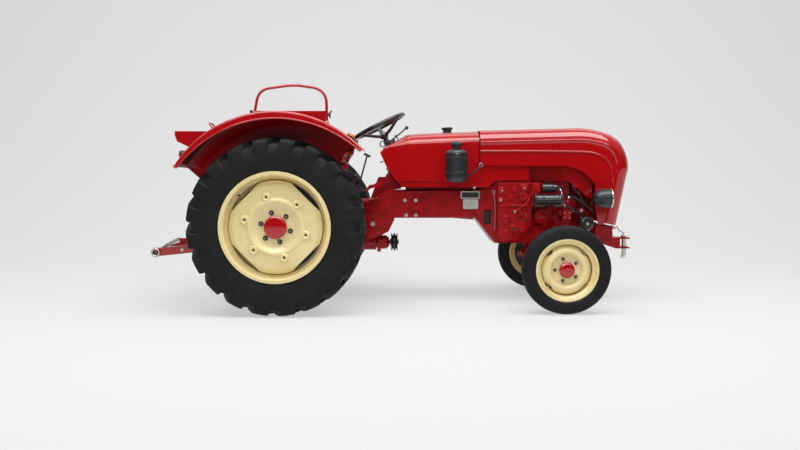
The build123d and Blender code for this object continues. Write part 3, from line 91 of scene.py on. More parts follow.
def pipe(path, radius, sides=14, closed=False, squash=1.0, up=None):
    # a circle carried along the path, square to it; squash flattens it along the up direction
    path = np.array(path, float)
    if closed:
        run = np.roll(path, -1, 0) - np.roll(path, 1, 0)
    else:
        run = np.gradient(path, axis=0)
    run /= np.linalg.norm(run, axis=1)[:, None]
    if up is None:
        up = np.eye(3)[np.argmin(np.abs(run).max(0))]
    across = np.cross(run, up)
    across /= np.linalg.norm(across, axis=1)[:, None]
    over = np.cross(across, run)
    angle = np.linspace(0, 2 * np.pi, sides, endpoint=False)
    radius = np.broadcast_to(radius, len(path))[:, None, None]
    cos, sin = np.cos(angle)[None, :, None], np.sin(angle)[None, :, None]
    ring = cos * across[:, None] + squash * sin * over[:, None]
    points = path[:, None] + radius * ring
    if not closed:
        ends = [np.repeat(end, sides, 1) for end in (path[:1, None], path[-1:, None])]
        points = np.concatenate([ends[0], points, ends[1]])
    return points.reshape(-1, 3), [gridFaces(len(points), sides, closed, True)]


def smoothPath(points, steps=8):
    # a curve through the points, whose direction at each is that from the one before to the one after
    points = np.array(points, float)
    padded = np.concatenate([2 * points[:1] - points[1:2], points, 2 * points[-1:] - points[-2:-1]])
    t = np.linspace(0, 1, steps, endpoint=False)[None, :, None]
    a, b, c, d = (padded[i:len(padded) - 3 + i][:, None] for i in range(4))
    curve = 0.5 * (2 * b + (c - a) * t + (2 * a - 5 * b + 4 * c - d) * t**2 + (3 * b - a - 3 * c + d) * t**3)
    return np.concatenate([curve.reshape(-1, points.shape[1]), points[-1:]])


def rounded(corners, radius, steps=5, closed=True):
    # each corner of the outline is replaced by an arc that touches both its sides
    corners = np.array(corners, float)
    radii = np.broadcast_to(radius, len(corners))
    made = []
    for i, corner in enumerate(corners):
        if radii[i] <= 0 or (not closed and i in (0, len(corners) - 1)):
            made.append(corner[None])
            continue
        before, after = corners[i - 1] - corner, corners[(i + 1) % len(corners)] - corner
        lengths = np.linalg.norm(before), np.linalg.norm(after)
        before, after = before / lengths[0], after / lengths[1]
        half = np.arccos(np.clip(before @ after, -1, 1)) / 2
        reach = min(radii[i] / np.tan(half), 0.49 * min(lengths)) if half < 1.55 else 0
        if reach <= 1e-7:
            made.append(corner[None])
            continue
        t = np.linspace(0, 1, steps + 1)[:, None]
        start, end = corner + before * reach, corner + after * reach
        made.append((1 - t) ** 2 * start + 2 * t * (1 - t) * corner + t**2 * end)
    return np.concatenate(made)


def lathed(line, soft, at, axis, steps=48, arc=5, closed=False):
    # an outline of (distance along the axis, radius) whose corners are rounded, turned about the axis
    return turned(rounded(line, soft, arc, closed), at, axis, steps, closed)


def hose(path, radius, sides=12, steps=8):
    # a pipe along a smooth curve through the points
    return pipe(smoothPath(path, steps), radius, sides)


def prism(outline, origin, xWay, yWay, depth, both=False):
    # an outline in a plane, carried square to it
    outline = np.array(outline, float)
    xWay, yWay = np.array(xWay, float), np.array(yWay, float)
    normal = np.cross(xWay, yWay)
    flat = np.array(origin, float) + outline[:, :1] * xWay + outline[:, 1:] * yWay
    low, high = (-depth / 2, depth / 2) if both else (0, depth)
    points = np.concatenate([flat + low * normal, flat + high * normal])
    count = len(outline)
    caps = np.stack([np.arange(count)[::-1], np.arange(count) + count])
    return points, [gridFaces(2, count, False, True), caps]


def sidePrism(outline, y, depth):
    # an outline in the side view, from that y on to the tractor's left, or to its right if depth is below 0
    return prism(outline, (0, y, 0), forward, upward, -depth)


def rectangle(low, high, inset=0.0):
    # the four corners of an upright rectangle, drawn in by the inset
    (a, b), (c, d) = low, high
    return [(a + inset, b + inset), (c - inset, b + inset), (c - inset, d - inset), (a + inset, d - inset)]


def inSpace(line, y):
    # points of the side view, put at that y
    return np.stack([line[..., 0], np.broadcast_to(y, line.shape[:-1]), line[..., 1]], -1)


def block(low, high, corner=0.0):
    # a box between two corners, whose upright edges may be rounded
    low, high = np.minimum(low, high), np.maximum(low, high)
    outline = rectangle(low[:2], high[:2])
    if corner:
        outline = rounded(outline, corner)
    return prism(outline, (0, 0, low[2]), forward, leftward, high[2] - low[2])


def bolt(centre, axis, size, height):
    # a six-sided head with a cut-back rim, on a washer
    head = [(0.15 * height, 0), (0.15 * height, size), (0.85 * height, size), (height, 0.86 * size),
            (height, 0)]
    washer = [(0, 0), (0, 1.35 * size), (0.2 * height, 1.35 * size), (0.2 * height, 0)]
    return [turned(head, centre, axis, 6, start=0.4), turned(washer, centre, axis, 20)]


def dome(centre, axis, radius, height):
    # a low round head, its height falling with the square of the distance from the middle
    share = np.linspace(0, 1, 8)
    profile = np.stack([height * (1 - share**2), radius * share], -1)
    return turned(np.concatenate([profile, [(0, 0)]]), centre, axis, 24)


def cylinder(centre, axis, radius, length, edge=0.002, steps=48):
    # a drum whose two rims are rounded
    outline = [(0, 0), (0, radius), (length, radius), (length, 0)]
    return turned(rounded(outline, (0, edge, edge, 0), 4, closed=False), centre, axis, steps)


def arcTo(start, way, end, steps=24):
    # the arc that leaves start along way and reaches end
    start, way, end = (np.array(p, float) for p in (start, way, end))
    way = way / np.linalg.norm(way)
    chord = end - start
    side = np.array((-way[1], way[0]))
    lean = chord @ side
    radius = chord @ chord / (2 * lean)
    centre = start + side * radius
    first, last = start - centre, end - centre
    sweep = np.arctan2(first[0] * last[1] - first[1] * last[0], first @ last)
    t = np.linspace(0, sweep, steps)[:, None]
    cos, sin = np.cos(t), np.sin(t)
    points = np.concatenate([first[0] * cos - first[1] * sin, first[0] * sin + first[1] * cos], 1)
    cos, sin = np.cos(sweep), np.sin(sweep)
    return centre + points, np.array((way[0] * cos - way[1] * sin, way[0] * sin + way[1] * cos))


def evenly(curve, count):
    # the same curve with its points at equal distances
    curve = np.array(curve, float)
    run = np.concatenate([[0], np.cumsum(np.linalg.norm(np.diff(curve, axis=0), axis=1))])
    at = np.linspace(0, run[-1], count)
    return np.stack([np.interp(at, run, curve[:, i]) for i in range(curve.shape[1])], -1)


def softEdges(piece, width):
    # a narrow bevel along the sharp edges
    edge = piece.modifiers.new("edge", "BEVEL")
    edge.width, edge.segments, edge.limit_method, edge.angle_limit = width, 2, "ANGLE", np.radians(38)
    edge.harden_normals = True


def makePiece(name, parts, body, replaces=(), smooth=35, bevel=0.0, thick=0.0, outward=None):
    # parts are (shape, material); they become one mesh, whose place is in its points
    materials = list(dict.fromkeys(material for shape, material in parts))
    mesh = bpy.data.meshes.new(name)
    points, corners, sizes, finishes, start = [], [], [], [], 0
    for (shapePoints, faces), material in parts:
        points.append(shapePoints)
        for group in faces:
            corners.append((group + start).ravel())
            sizes.append(np.full(len(group), group.shape[1]))
            finishes.append(np.full(len(group), materials.index(material)))
        start += len(shapePoints)
    points = np.concatenate(points) + (rearAxleX, 0, 0)
    corners, sizes = np.concatenate(corners), np.concatenate(sizes)
    mesh.vertices.add(len(points))
    mesh.vertices.foreach_set("co", points.ravel())
    mesh.loops.add(len(corners))
    mesh.loops.foreach_set("vertex_index", corners)
    mesh.polygons.add(len(sizes))
    mesh.polygons.foreach_set("loop_start", np.cumsum(sizes) - sizes)
    mesh.polygons.foreach_set("loop_total", sizes)
    mesh.polygons.foreach_set("material_index", np.concatenate(finishes))
    for material in materials:
        mesh.materials.append(material)
    mesh.update(calc_edges=True)
    edit = bmesh.new()
    edit.from_mesh(mesh)
    bmesh.ops.remove_doubles(edit, verts=edit.verts, dist=1e-6)
    bmesh.ops.dissolve_degenerate(edit, edges=edit.edges, dist=1e-7)
    bmesh.ops.recalc_face_normals(edit, faces=edit.faces)
    if outward is not None:
        total = sum((face.normal * face.calc_area() for face in edit.faces), Vector())
        if total.dot(Vector(outward)) < 0:
            bmesh.ops.reverse_faces(edit, faces=edit.faces)
    edit.to_mesh(mesh)
    edit.free()
    mesh.shade_smooth()
    mesh.set_sharp_from_angle(angle=np.radians(smooth))
    piece = bpy.data.objects.new(name, mesh)
    bpy.context.scene.collection.objects.link(piece)
    if thick:
        wall = piece.modifiers.new("wall", "SOLIDIFY")
        wall.thickness, wall.offset = thick, -1
    if bevel:
        softEdges(piece, bevel)
    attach(piece, body)
    if replaces:
        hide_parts(*replaces)
    return piece


# Finishes

def startMaterial(name, **sockets):
    # an even value is set on the shader's own socket
    material = bpy.data.materials.new(name)
    material.use_nodes = True
    tree = material.node_tree
    shader = tree.nodes["Principled BSDF"]
    for socket, value in sockets.items():
        shader.inputs[socket.replace("_", " ")].default_value = value
    where = tree.nodes.new("ShaderNodeTexCoord").outputs["Object"]
    return material, tree, shader, where


def noise(tree, where, scale, detail=4.0, roughness=0.55, stretch=None):
    if stretch:
        mapping = tree.nodes.new("ShaderNodeMapping")
        mapping.inputs["Scale"].default_value = stretch
        tree.links.new(where, mapping.inputs["Vector"])
        where = mapping.outputs["Vector"]
    texture = tree.nodes.new("ShaderNodeTexNoise")
    texture.inputs["Scale"].default_value = scale
    texture.inputs["Detail"].default_value = detail
    texture.inputs["Roughness"].default_value = roughness
    tree.links.new(where, texture.inputs["Vector"])
    return texture.outputs["Fac"]


def ramp(tree, value, stops):
    node = tree.nodes.new("ShaderNodeValToRGB")
    for i, (place, colour) in enumerate(stops):
        element = node.color_ramp.elements[i] if i < 2 else node.color_ramp.elements.new(place)
        element.position, element.color = place, (*colour, 1)
    tree.links.new(value, node.inputs["Fac"])
    return node.outputs["Color"]


def spread(tree, value, low, high, start=0.3, end=0.7):
    node = tree.nodes.new("ShaderNodeMapRange")
    for socket, number in (("From Min", start), ("From Max", end), ("To Min", low), ("To Max", high)):
        node.inputs[socket].default_value = number
    tree.links.new(value, node.inputs["Value"])
    return node.outputs["Result"]


def dent(tree, shader, height, distance, strength=1.0):
    node = tree.nodes.new("ShaderNodeBump")
    node.inputs["Distance"].default_value = distance
    node.inputs["Strength"].default_value = strength
    tree.links.new(height, node.inputs["Height"])
    tree.links.new(node.outputs["Normal"], shader.inputs["Normal"])


def enamel(name, colours, gloss=(0.16, 0.3), peel=0.00012, coat=0.7, sheen=0.5, bend=1.5):
    # brushed-over gloss paint: soft changes of tone, a fine skin and patches that are duller
    material, tree, shader, where = startMaterial(name, Coat_Weight=coat, Coat_Roughness=0.05,
                                                  Specular_IOR_Level=sheen, Coat_IOR=bend)
    broad = noise(tree, where, 2.6, 5)
    tree.links.new(ramp(tree, broad, [(0.3, colours[0]), (0.7, colours[1])]), shader.inputs["Base Color"])
    patches = noise(tree, where, 9, 6, 0.65)
    tree.links.new(spread(tree, patches, *gloss), shader.inputs["Roughness"])
    dent(tree, shader, noise(tree, where, 260, 2), peel)
    return material


def casting(name, colours, grain=0.0006):
    # painted sand casting: coarse skin, oily dark patches spread at random
    material, tree, shader, where = startMaterial(name, Coat_Weight=0.3, Coat_Roughness=0.12,
                                                  Specular_IOR_Level=0.15)
    soil = noise(tree, where, 14, 8, 0.7)
    tree.links.new(ramp(tree, soil, [(0.28, colours[0]), (0.45, colours[1]), (0.75, colours[2])]),
                   shader.inputs["Base Color"])
    tree.links.new(spread(tree, noise(tree, where, 30, 4), 0.28, 0.5), shader.inputs["Roughness"])
    dent(tree, shader, noise(tree, where, 150, 6, 0.6), grain)
    return material


def rubber(name, dark, dust, grain=0.0005):
    material, tree, shader, where = startMaterial(name, Specular_IOR_Level=0.25)
    broad = noise(tree, where, 7, 8, 0.7)
    tree.links.new(ramp(tree, broad, [(0.35, dark), (0.75, dust)]), shader.inputs["Base Color"])
    tree.links.new(spread(tree, noise(tree, where, 22, 5), 0.5, 0.72), shader.inputs["Roughness"])
    dent(tree, shader, noise(tree, where, 320, 5, 0.7), grain)
    return material


def metal(name, colours, rough, stretch=None, grain=0.0001, metallic=1.0):
    # bare or plated metal with fine scratches and a little staining
    material, tree, shader, where = startMaterial(name, Metallic=metallic)
    stain = noise(tree, where, 24, 6, 0.6)
    tree.links.new(ramp(tree, stain, [(0.35, colours[0]), (0.7, colours[1])]), shader.inputs["Base Color"])
    tree.links.new(spread(tree, noise(tree, where, 90, 3, stretch=stretch), *rough),
                   shader.inputs["Roughness"])
    dent(tree, shader, noise(tree, where, 400, 3, stretch=stretch), grain)
    return material


def lens(name, colour, rough=0.08, glow=0.15):
    # moulded coloured glass, with fine flutes
    material, tree, shader, where = startMaterial(name, Coat_Weight=1.0, Coat_Roughness=0.03, IOR=1.5)
    shader.inputs["Transmission Weight"].default_value = 0.35
    tone = noise(tree, where, 30, 3)
    lighter = tuple(min(1.0, c * (1 + glow) + 0.02) for c in colour)
    tree.links.new(ramp(tree, tone, [(0.3, colour), (0.7, lighter)]), shader.inputs["Base Color"])
    tree.links.new(spread(tree, noise(tree, where, 60, 2), rough, rough + 0.1), shader.inputs["Roughness"])
    flutes = tree.nodes.new("ShaderNodeTexWave")
    flutes.bands_direction = "Y"
    flutes.inputs["Scale"].default_value = 60
    tree.links.new(where, flutes.inputs["Vector"])
    dent(tree, shader, flutes.outputs["Color"], 0.0006)
    return material


redPaint = enamel("redPaint", [(0.34, 0.0003, 0.002), (0.4, 0.0005, 0.003)], coat=0.9, sheen=0.1, bend=1.72)
# a darker copy of the red paint: painted shade, for sheets that lie in shade and for the small mark on the
# hub caps
redPaintedShade = enamel("redPaintedShade", [(0.14, 0.0006, 0.002), (0.2, 0.001, 0.003)], gloss=(0.3, 0.5), coat=0.25,
                  sheen=0.1)
# a still darker copy of the red paint: painted shade on the mudguards' undersides
redUndersideShade = enamel("redUndersideShade", [(0.055, 0.0006, 0.002), (0.09, 0.001, 0.003)], gloss=(0.4, 0.6), coat=0.1,
                  sheen=0.1)
# a lighter, warmer copy of the red paint: painted light on the mudguard stay
redPaintedLight = enamel("redPaintedLight", [(0.72, 0.08, 0.045), (0.84, 0.12, 0.06)], gloss=(0.2, 0.35), coat=0.6)
redCasting = casting("redCasting", [(0.1, 0.001, 0.002), (0.3, 0.0005, 0.003), (0.42, 0.001, 0.005)])
creamPaint = enamel("creamPaint", [(0.72, 0.58, 0.27), (0.8, 0.67, 0.34)], gloss=(0.22, 0.38), coat=0.5)
blackGloss = enamel("blackGloss", [(0.006, 0.007, 0.008), (0.012, 0.013, 0.014)], gloss=(0.18, 0.34),
                    coat=0.5)
blackSatin = enamel("blackSatin", [(0.01, 0.01, 0.011), (0.02, 0.02, 0.021)], gloss=(0.38, 0.6), coat=0.0)
airBlack = enamel("airBlack", [(0.006, 0.01, 0.012), (0.012, 0.017, 0.02)], gloss=(0.34, 0.46), coat=0.25)
tyreRubber = rubber("tyreRubber", (0.004, 0.004, 0.0043), (0.01, 0.01, 0.0105))
hoseRubber = rubber("hoseRubber", (0.01, 0.01, 0.01), (0.022, 0.022, 0.022), 0.0002)
bareSteel = metal("bareSteel", [(0.3, 0.29, 0.27), (0.48, 0.47, 0.45)], (0.28, 0.5))
plating = metal("plating", [(0.62, 0.62, 0.62), (0.8, 0.8, 0.8)], (0.08, 0.2), grain=0.00003)
zinc = metal("zinc", [(0.62, 0.6, 0.56), (0.78, 0.76, 0.72)], (0.22, 0.4))
castAlloy = metal("castAlloy", [(0.36, 0.35, 0.34), (0.5, 0.49, 0.47)], (0.4, 0.62), grain=0.0004)
darkSteel = metal("darkSteel", [(0.06, 0.055, 0.05), (0.12, 0.11, 0.1)], (0.35, 0.55), metallic=0.8)
rustySteel = metal("rustySteel", [(0.1, 0.055, 0.035), (0.2, 0.13, 0.1)], (0.5, 0.8), grain=0.0006,
                   metallic=0.4)
brass = metal("brass", [(0.55, 0.36, 0.12), (0.72, 0.5, 0.2)], (0.2, 0.35))
amberGlass = lens("amberGlass", (0.8, 0.3, 0.03))
redGlass = lens("redGlass", (0.5, 0.01, 0.01))
clearGlass = lens("clearGlass", (0.55, 0.58, 0.6), glow=0.4)
dialFace = enamel("dialFace", [(0.7, 0.69, 0.64), (0.76, 0.75, 0.7)], gloss=(0.3, 0.4), coat=0.2)
plateSilver = metal("plateSilver", [(0.45, 0.45, 0.43), (0.66, 0.66, 0.64)], (0.3, 0.5), metallic=0.7)
print("finishes made")


# Rear tyres

def makeRearTyres():
    # two sections of the tyre, bare and at the top of a lug, are blended round the wheel.
    # Columns of the grid lie on the lugs' edges and lean back from the middle to each shoulder.
    size = {
        "lugs": 20, "crownShare": 0.125, "shoulderShare": 0.262, "flankShare": 0.075,
        "lean": 0.17, "leanWidth": 0.135, "widenWidth": 0.12, "middle": 0.004,
        "rings": (0.402, 0.42, 0.452), "ringHeight": 0.0013, "ringWidth": 0.0035,
    }
    bare = np.array([
        (0, .583), (.006, .583), (.035, .5825), (.075, .58), (.105, .573), (.122, .562), (.132, .545),
        (.1385, .523), (.1422, .498), (.143, .47), (.1405, .44), (.1345, .41), (.131, .392),
        (.127, .379), (.116, .3566),
    ])
    top = bare.copy()
    top[:9] = [
        (0, .612), (.006, .612), (.035, .6117), (.078, .61), (.112, .605), (.133, .594), (.142, .57),
        (.144, .539), (.144, .506),
    ]
    bareHalf, topHalf = smoothPath(bare, 4), smoothPath(top, 4)
    bump = sum(np.exp(-((bareHalf[:, 1] - ring) / size["ringWidth"]) ** 2) for ring in size["rings"])
    bareHalf[:, 0] += size["ringHeight"] * bump
    topHalf[:, 0] += size["ringHeight"] * bump
    hand = np.concatenate([-np.ones(len(bareHalf)), np.ones(len(bareHalf) - 1)])
    bareAll = np.concatenate([bareHalf[::-1], bareHalf[1:]])
    topAll = np.concatenate([topHalf[::-1], topHalf[1:]])
    crown, flank = size["crownShare"], size["flankShare"]
    edges = np.array([0, 0.6 * crown, crown, crown + 0.3 * flank, crown + 0.7 * flank, crown + flank])
    phases = np.sort(np.concatenate([-edges[1:], edges, 0.5 - edges[:-1], -0.5 + edges]))
    phases = np.unique(np.round(np.concatenate([phases, [-0.25, 0.25]]), 6))
    phases = phases[phases < 0.5 - 1e-6]
    turns = (np.arange(size["lugs"])[:, None] + phases[None]).ravel()
    local = np.where(hand[:, None] > 0, turns[None], turns[None] + 0.5)
    local = local - np.round(local)
    distance = np.abs(local)
    mask = np.interp(distance, [0, crown, crown + 0.3 * flank, crown + 0.7 * flank, crown + flank, 0.5],
                     [1, 1, 0.86, 0.14, 0, 0])
    width = bareAll[:, :1]
    mask[np.abs(width[:, 0]) < size["middle"]] = 0
    # the lug widens towards the shoulder, and the gap gives way
    widen = np.clip(width / size["widenWidth"], 0, 1)
    wideEdge = crown + (size["shoulderShare"] - crown) * widen
    inside = distance / crown * wideEdge
    outside = wideEdge + (distance - crown) * (0.5 - wideEdge) / (0.5 - crown)
    moved = np.where(distance < crown, inside, outside) * np.sign(local)
    turns = turns[None] + (moved - local)
    angle = turns * 2 * np.pi / size["lugs"] - size["lean"] * np.clip(width / size["leanWidth"], 0, 1)
    section = bareAll[:, None] * (1 - mask[..., None]) + topAll[:, None] * mask[..., None]
    wide, radius = section[..., 0] * hand[:, None], section[..., 1]
    for name, way in sides:
        points = np.stack([
            radius * np.sin(angle),
            way * (rearWheelY + wide),
            rearAxleZ + radius * np.cos(angle),
        ], -1)
        rows, columns = wide.shape
        shape = points.reshape(-1, 3), [gridFaces(rows, columns, True, True)]
        makePiece(f"rearTyre_{name}", [(shape, tyreRubber)], f"rear_wheel_{name}",
                  [f"rear_tyre_{name}"], smooth=32)
    print("rear tyres made")


# Wheels

def wheelDisc(profile, edge, wall, chord, drop, dimples, steps):
    # a dish turned about the axle, cut back along four straight edges with a lip turned in there;
    # round dimples are pressed into it. Gives (across, radius, angle) arrays.
    angle = np.linspace(0, 2 * np.pi, steps, endpoint=False)
    off = np.abs(angle % (np.pi / 2) - np.pi / 4)
    cut = chord / np.cos(off)
    reach = np.minimum(edge[1], cut)
    opened = np.clip((edge[1] - cut) / 0.004, 0, 1)
    across, radius = (np.tile(profile[:, k:k + 1], (1, steps)) for k in (0, 1))
    for distance, turn, size, depth in dimples:
        gap = np.hypot(radius * np.cos(angle) - distance * np.cos(turn),
                       radius * np.sin(angle) - distance * np.sin(turn))
        across = across - depth * (1 - np.clip(gap / size, 0, 1) ** 2) ** 2
    rim = np.interp(reach, [profile[-1, 1], edge[1]], [profile[-1, 0], edge[0]])
    t = np.array([0.35, 0.7, 1.0])[:, None]
    outerRadius = profile[-1, 1] + (reach - profile[-1, 1]) * t
    outerAcross = profile[-1, 0] + (rim - profile[-1, 0]) * t
    lipRadius = reach + (wall[1] - edge[1]) * (1 - opened)
    lipAcross = rim + (wall[0] - edge[0]) * (1 - opened) - drop * opened
    s = np.array([0.12, 0.5, 1.0])[:, None]
    wallRadius = reach + (lipRadius - reach) * s
    wallAcross = rim + (lipAcross - rim) * s
    across = np.concatenate([across, outerAcross, wallAcross])
    return across, np.concatenate([radius, outerRadius, wallRadius]), angle


def placeOnWheel(across, radius, angle, way, x, y, z):
    # from (across, radius, angle) to points: across runs outward along the axle
    points = np.stack([
        x + radius * np.cos(angle),
        way * (y + across),
        z + radius * np.sin(angle),
    ], -1)
    return points.reshape(-1, 3), [gridFaces(len(radius), points.shape[1], False, True)]


def makeWheel(name, way, size):
    x, y, z = size["axle"]
    out = (0, way, 0)
    centre = np.array((x, way * y, z))
    half, seat, flange, well, depth, wall = size["rim"]
    tyreSide = [(half, flange), (half, seat + .002), (half - .015, seat), (well + .02, seat),
                (well, seat - depth)]
    inside = [(well + .004, seat - depth - wall), (well + .024, seat - wall), (half - .015, seat - wall),
              (half + wall, seat - .002), (half + wall, flange)]
    outline = [(-a, b) for a, b in tyreSide] + tyreSide[::-1] + inside[::-1] + [(-a, b) for a, b in inside]
    soft = [0.0045 if b == flange else 0.009 for a, b in outline]
    rim = lathed(outline, soft, centre, out, size["steps"], closed=True)
    turnsAt = [np.radians(size["boltTurn"] + k * 360 / size["bolts"]) for k in range(size["bolts"])]
    dimpled = turnsAt if size["dimpleAt"] else []
    dimples = [(size["dimpleAt"], turn, size["dimpleSize"], size["dimpleDepth"]) for turn in dimpled]
    profile = smoothPath(size["dish"], 5)
    across, radius, angle = wheelDisc(profile, size["edge"], size["wall"], size["chord"], size["drop"],
                                      dimples, size["discSteps"])
    disc = placeOnWheel(across, radius, angle, way, x, y, z)
    makePiece(f"{size['name']}Rim_{name}", [(rim, creamPaint)], f"{size['body']}_{name}",
              [f"{size['node']}_{name}"])
    makePiece(f"{size['name']}Disc_{name}", [(disc, creamPaint)], f"{size['body']}_{name}",
              outward=out, thick=size["sheet"], smooth=50)
    face = size["dish"][0][0]
    parts = painted(redPaint, lathed(size["hub"], size["hubSoft"], centre, out, 72))
    for turn in turnsAt:
        at = centre + np.array((size["boltAt"] * np.cos(turn), way * (face + .0005),
                                size["boltAt"] * np.sin(turn)))
        # under each nut a dark steel cup stands for the shade in its countersunk recess: painted shade
        recessShade = [(0, 0), (0, size["recessShade"]), (.003, size["recessShade"]), (.0005, size["recessShade"] * .8), (.0005, 0)]
        parts += painted(darkSteel, turned(recessShade, at, out, 28), *bolt(at, out, size["nut"], .014))
        parts += painted(bareSteel, cylinder(at, out, size["nut"] * .5, .02, .001, 16))
    for turn in dimpled:
        reach, hole = size["dimpleAt"], size["dimpleHole"]
        top = size["dish"][-2][0] - size["dimpleDepth"] * .95
        at = centre + np.array((reach * np.cos(turn), way * top, reach * np.sin(turn)))
        swell = [(-.004, .034), (.0005, .03), (.005, .024), (.006, .019), (.003, .013), (-.001, hole),
                 (-.004, hole)]
        # each hole is a black disc on the swelling: painted shade in place of a real hole
        holeShade = [(0, 0), (0, hole), (.0014, hole), (.0004, hole * .8), (.0004, 0)]
        parts += painted(creamPaint, turned(smoothPath(swell, 3), at, out, 40))
        parts += painted(blackSatin, turned(holeShade, at, out, 22))
    # a black ring behind the slots, painted shade for the dark inside of the wheel, and the rim's centre
    # flange outside it
    at, inner, middle, outer = size["shadow"]
    for low, high, material in ((inner, middle + .001, blackSatin), (middle, outer, creamPaint)):
        ring = [(at, low), (at, high), (at + .002, high), (at + .002, low)]
        parts += painted(material, turned(ring, centre, out, 96, closed=True))
        at += .003
    # a small mark in the middle of the cap, in the darker copy of the red paint: painted shade
    top = size["hub"][-1][0]
    mark = [(top - .001, 0), (top - .001, .006), (top + .0015, .0045), (top + .0015, 0)]
    parts += painted(redPaintedShade, turned(mark, centre, out, 20))
    makePiece(f"{size['name']}Hub_{name}", parts, f"{size['body']}_{name}",
              [f"{size['hubNode']}_{name}"], smooth=40)
    valve = np.radians(size["valveTurn"])
    spoke = np.array((np.cos(valve), 0, np.sin(valve)))
    foot = centre + spoke * size["valveAt"] + np.array((0, way * size["valveOut"], 0))
    tip = foot + np.array((0, way * .03, 0)) - spoke * .012
    stem = smoothPath([foot, (foot + tip) / 2 - spoke * .002, tip], 5)
    makePiece(f"{size['name']}Valve_{name}", [
        (pipe(stem, .0042), hoseRubber),
        (cylinder(tip, tip - foot, .0046, .011, .001, 16), brass),
        (cylinder(foot - (tip - foot) * .1, tip - foot, .009, .008, .002, 20), hoseRubber),
    ], f"{size['body']}_{name}")


def makeWheels():
    rear = {
        "name": "rear", "body": "rear_wheel", "node": "rear_wheel", "hubNode": "rear_hub",
        "axle": (0, rearWheelY, rearAxleZ), "rim": (.131, .3557, .381, .05, .024, .007), "steps": 160,
        "dish": [(.073, .06), (.073, .1), (.074, .126), (.086, .15), (.1005, .171), (.104, .183),
                 (.0985, .195), (.094, .206), (.0935, .245), (.093, .288)],
        "edge": (.079, .318), "wall": (.019, .3285), "chord": .29, "drop": .016, "discSteps": 240,
        "sheet": .005, "shadow": (-.01, .262, .3115, .331), "bolts": 6, "boltTurn": 46, "boltAt": .1025,
        "nut": .0105, "recessShade": .0175, "dimpleAt": .214, "dimpleSize": .036, "dimpleDepth": -.009,
        "dimpleHole": .0085,
        "hub": [(-.113, 0), (-.113, .048), (.042, .06), (.042, .122), (.0677, .122), (.0677, .059),
                (.073, .059), (.073, .0785), (.096, .0785), (.1045, .066), (.1065, .03), (.107, 0)],
        "hubSoft": (0, .004, .01, .004, .002, .002, .002, .003, .006, .012, .03, 0),
        "valveTurn": 139, "valveAt": .331, "valveOut": .06,
    }
    front = {
        "name": "front", "body": "front_wheel", "node": "front_wheel", "hubNode": "front_hub",
        "axle": (frontAxleX, frontWheelY, frontAxleZ), "rim": (.05, .2037, .219, .018, .02, .005),
        "steps": 128,
        "dish": [(.014, .046), (.014, .07), (.0145, .09), (.0175, .098), (.033, .112), (.0405, .124),
                 (.04, .136), (.0315, .15)],
        "edge": (.0215, .161), "wall": (-.01, .1815), "chord": .1568, "drop": .012, "discSteps": 200,
        "sheet": .004, "shadow": (-.018, .12, .166, .184), "bolts": 5, "boltTurn": 180, "boltAt": .08,
        "nut": .0085, "recessShade": .0125, "dimpleAt": 0,
        "hub": [(-.058, 0), (-.058, .044), (-.006, .052), (-.006, .1), (.0077, .1), (.0077, .045),
                (.014, .045), (.014, .054), (.04, .054), (.051, .043), (.0535, .02), (.054, 0)],
        "hubSoft": (0, .004, .01, .003, .002, .002, .002, .002, .006, .01, .02, 0),
        "valveTurn": 218, "valveAt": .18, "valveOut": .006,
    }
    for name, way in sides:
        makeWheel(name, way, rear)
        makeWheel(name, way, front)
    print("wheels made")


def makeFrontTyres():
    # a ribbed section turned about the axle: grooves at the middle and beside it, rings on the walls
    size = {"grooves": (0, .026), "grooveDepth": .007, "grooveWidth": .0035,
            "rings": (.232, .246, .272), "ringHeight": .0011, "ringWidth": .0024}
    half = smoothPath([
        (0, .3095), (.018, .3093), (.034, .3075), (.044, .304), (.0535, .296), (.059, .284), (.063, .266),
        (.0642, .25), (.062, .235), (.0565, .2235), (.053, .218), (.046, .211), (.035, .2043),
    ], 8)
    fine = evenly(half, 150)
    for groove in size["grooves"]:
        cut = 1 / (1 + ((fine[:, 0] - groove) / size["grooveWidth"]) ** 6)
        fine[:, 1] -= np.where(fine[:, 1] > .29, size["grooveDepth"] * cut, 0)
    for ring in size["rings"]:
        bump = size["ringHeight"] * np.exp(-((fine[:, 1] - ring) / size["ringWidth"]) ** 2)
        fine[:, 0] += np.where(fine[:, 1] < .3, bump, 0)
    whole = np.concatenate([fine[::-1] * (-1, 1), fine[1:]])
    for name, way in sides:
        centre = (frontAxleX, way * frontWheelY, frontAxleZ)
        makePiece(f"frontTyre_{name}", [(turned(whole, centre, (0, way, 0), 144, closed=True), tyreRubber)],
                  f"front_wheel_{name}", [f"front_tyre_{name}"], smooth=50)
    print("front tyres made")


# Sheet metal

def crownedSheet(ridge, section, lower):
    # a hood pressed from sheet: the section (y, depth) hangs inward from each point of the ridge, and runs
    # from its last line straight on to the lower edge. Gives the grid of the right half as points (n, m, 3).
    run = np.gradient(ridge, axis=0)
    run /= np.linalg.norm(run, axis=1)[:, None]
    inward = np.stack([run[:, 1], -run[:, 0]], -1)
    top = ridge[:, None] + section[None, :, 1:2] * inward[:, None]
    width = np.broadcast_to(section[None, :, :1], (len(ridge), len(section), 1))
    share = np.linspace(0, 1, lower["rows"] + 1)[1:][None, :, None]
    edge = lower["line"][:, None]
    wall = top[:, -1:] * (1 - share) + edge * share
    wallWidth = np.full((*wall.shape[:2], 1), lower["half"])
    side = np.concatenate([top, wall], 1)
    y = np.concatenate([width, wallWidth], 1)
    return np.stack([side[..., 0], -y[..., 0], side[..., 1]], -1)


def bothHalves(grid):
    # the right half and its mirror image, as one grid across
    left = grid[:, ::-1] * (1, -1, 1)
    whole = np.concatenate([left[:, :-1], grid], 1)
    return whole.reshape(-1, 3), [gridFaces(whole.shape[0], whole.shape[1])]


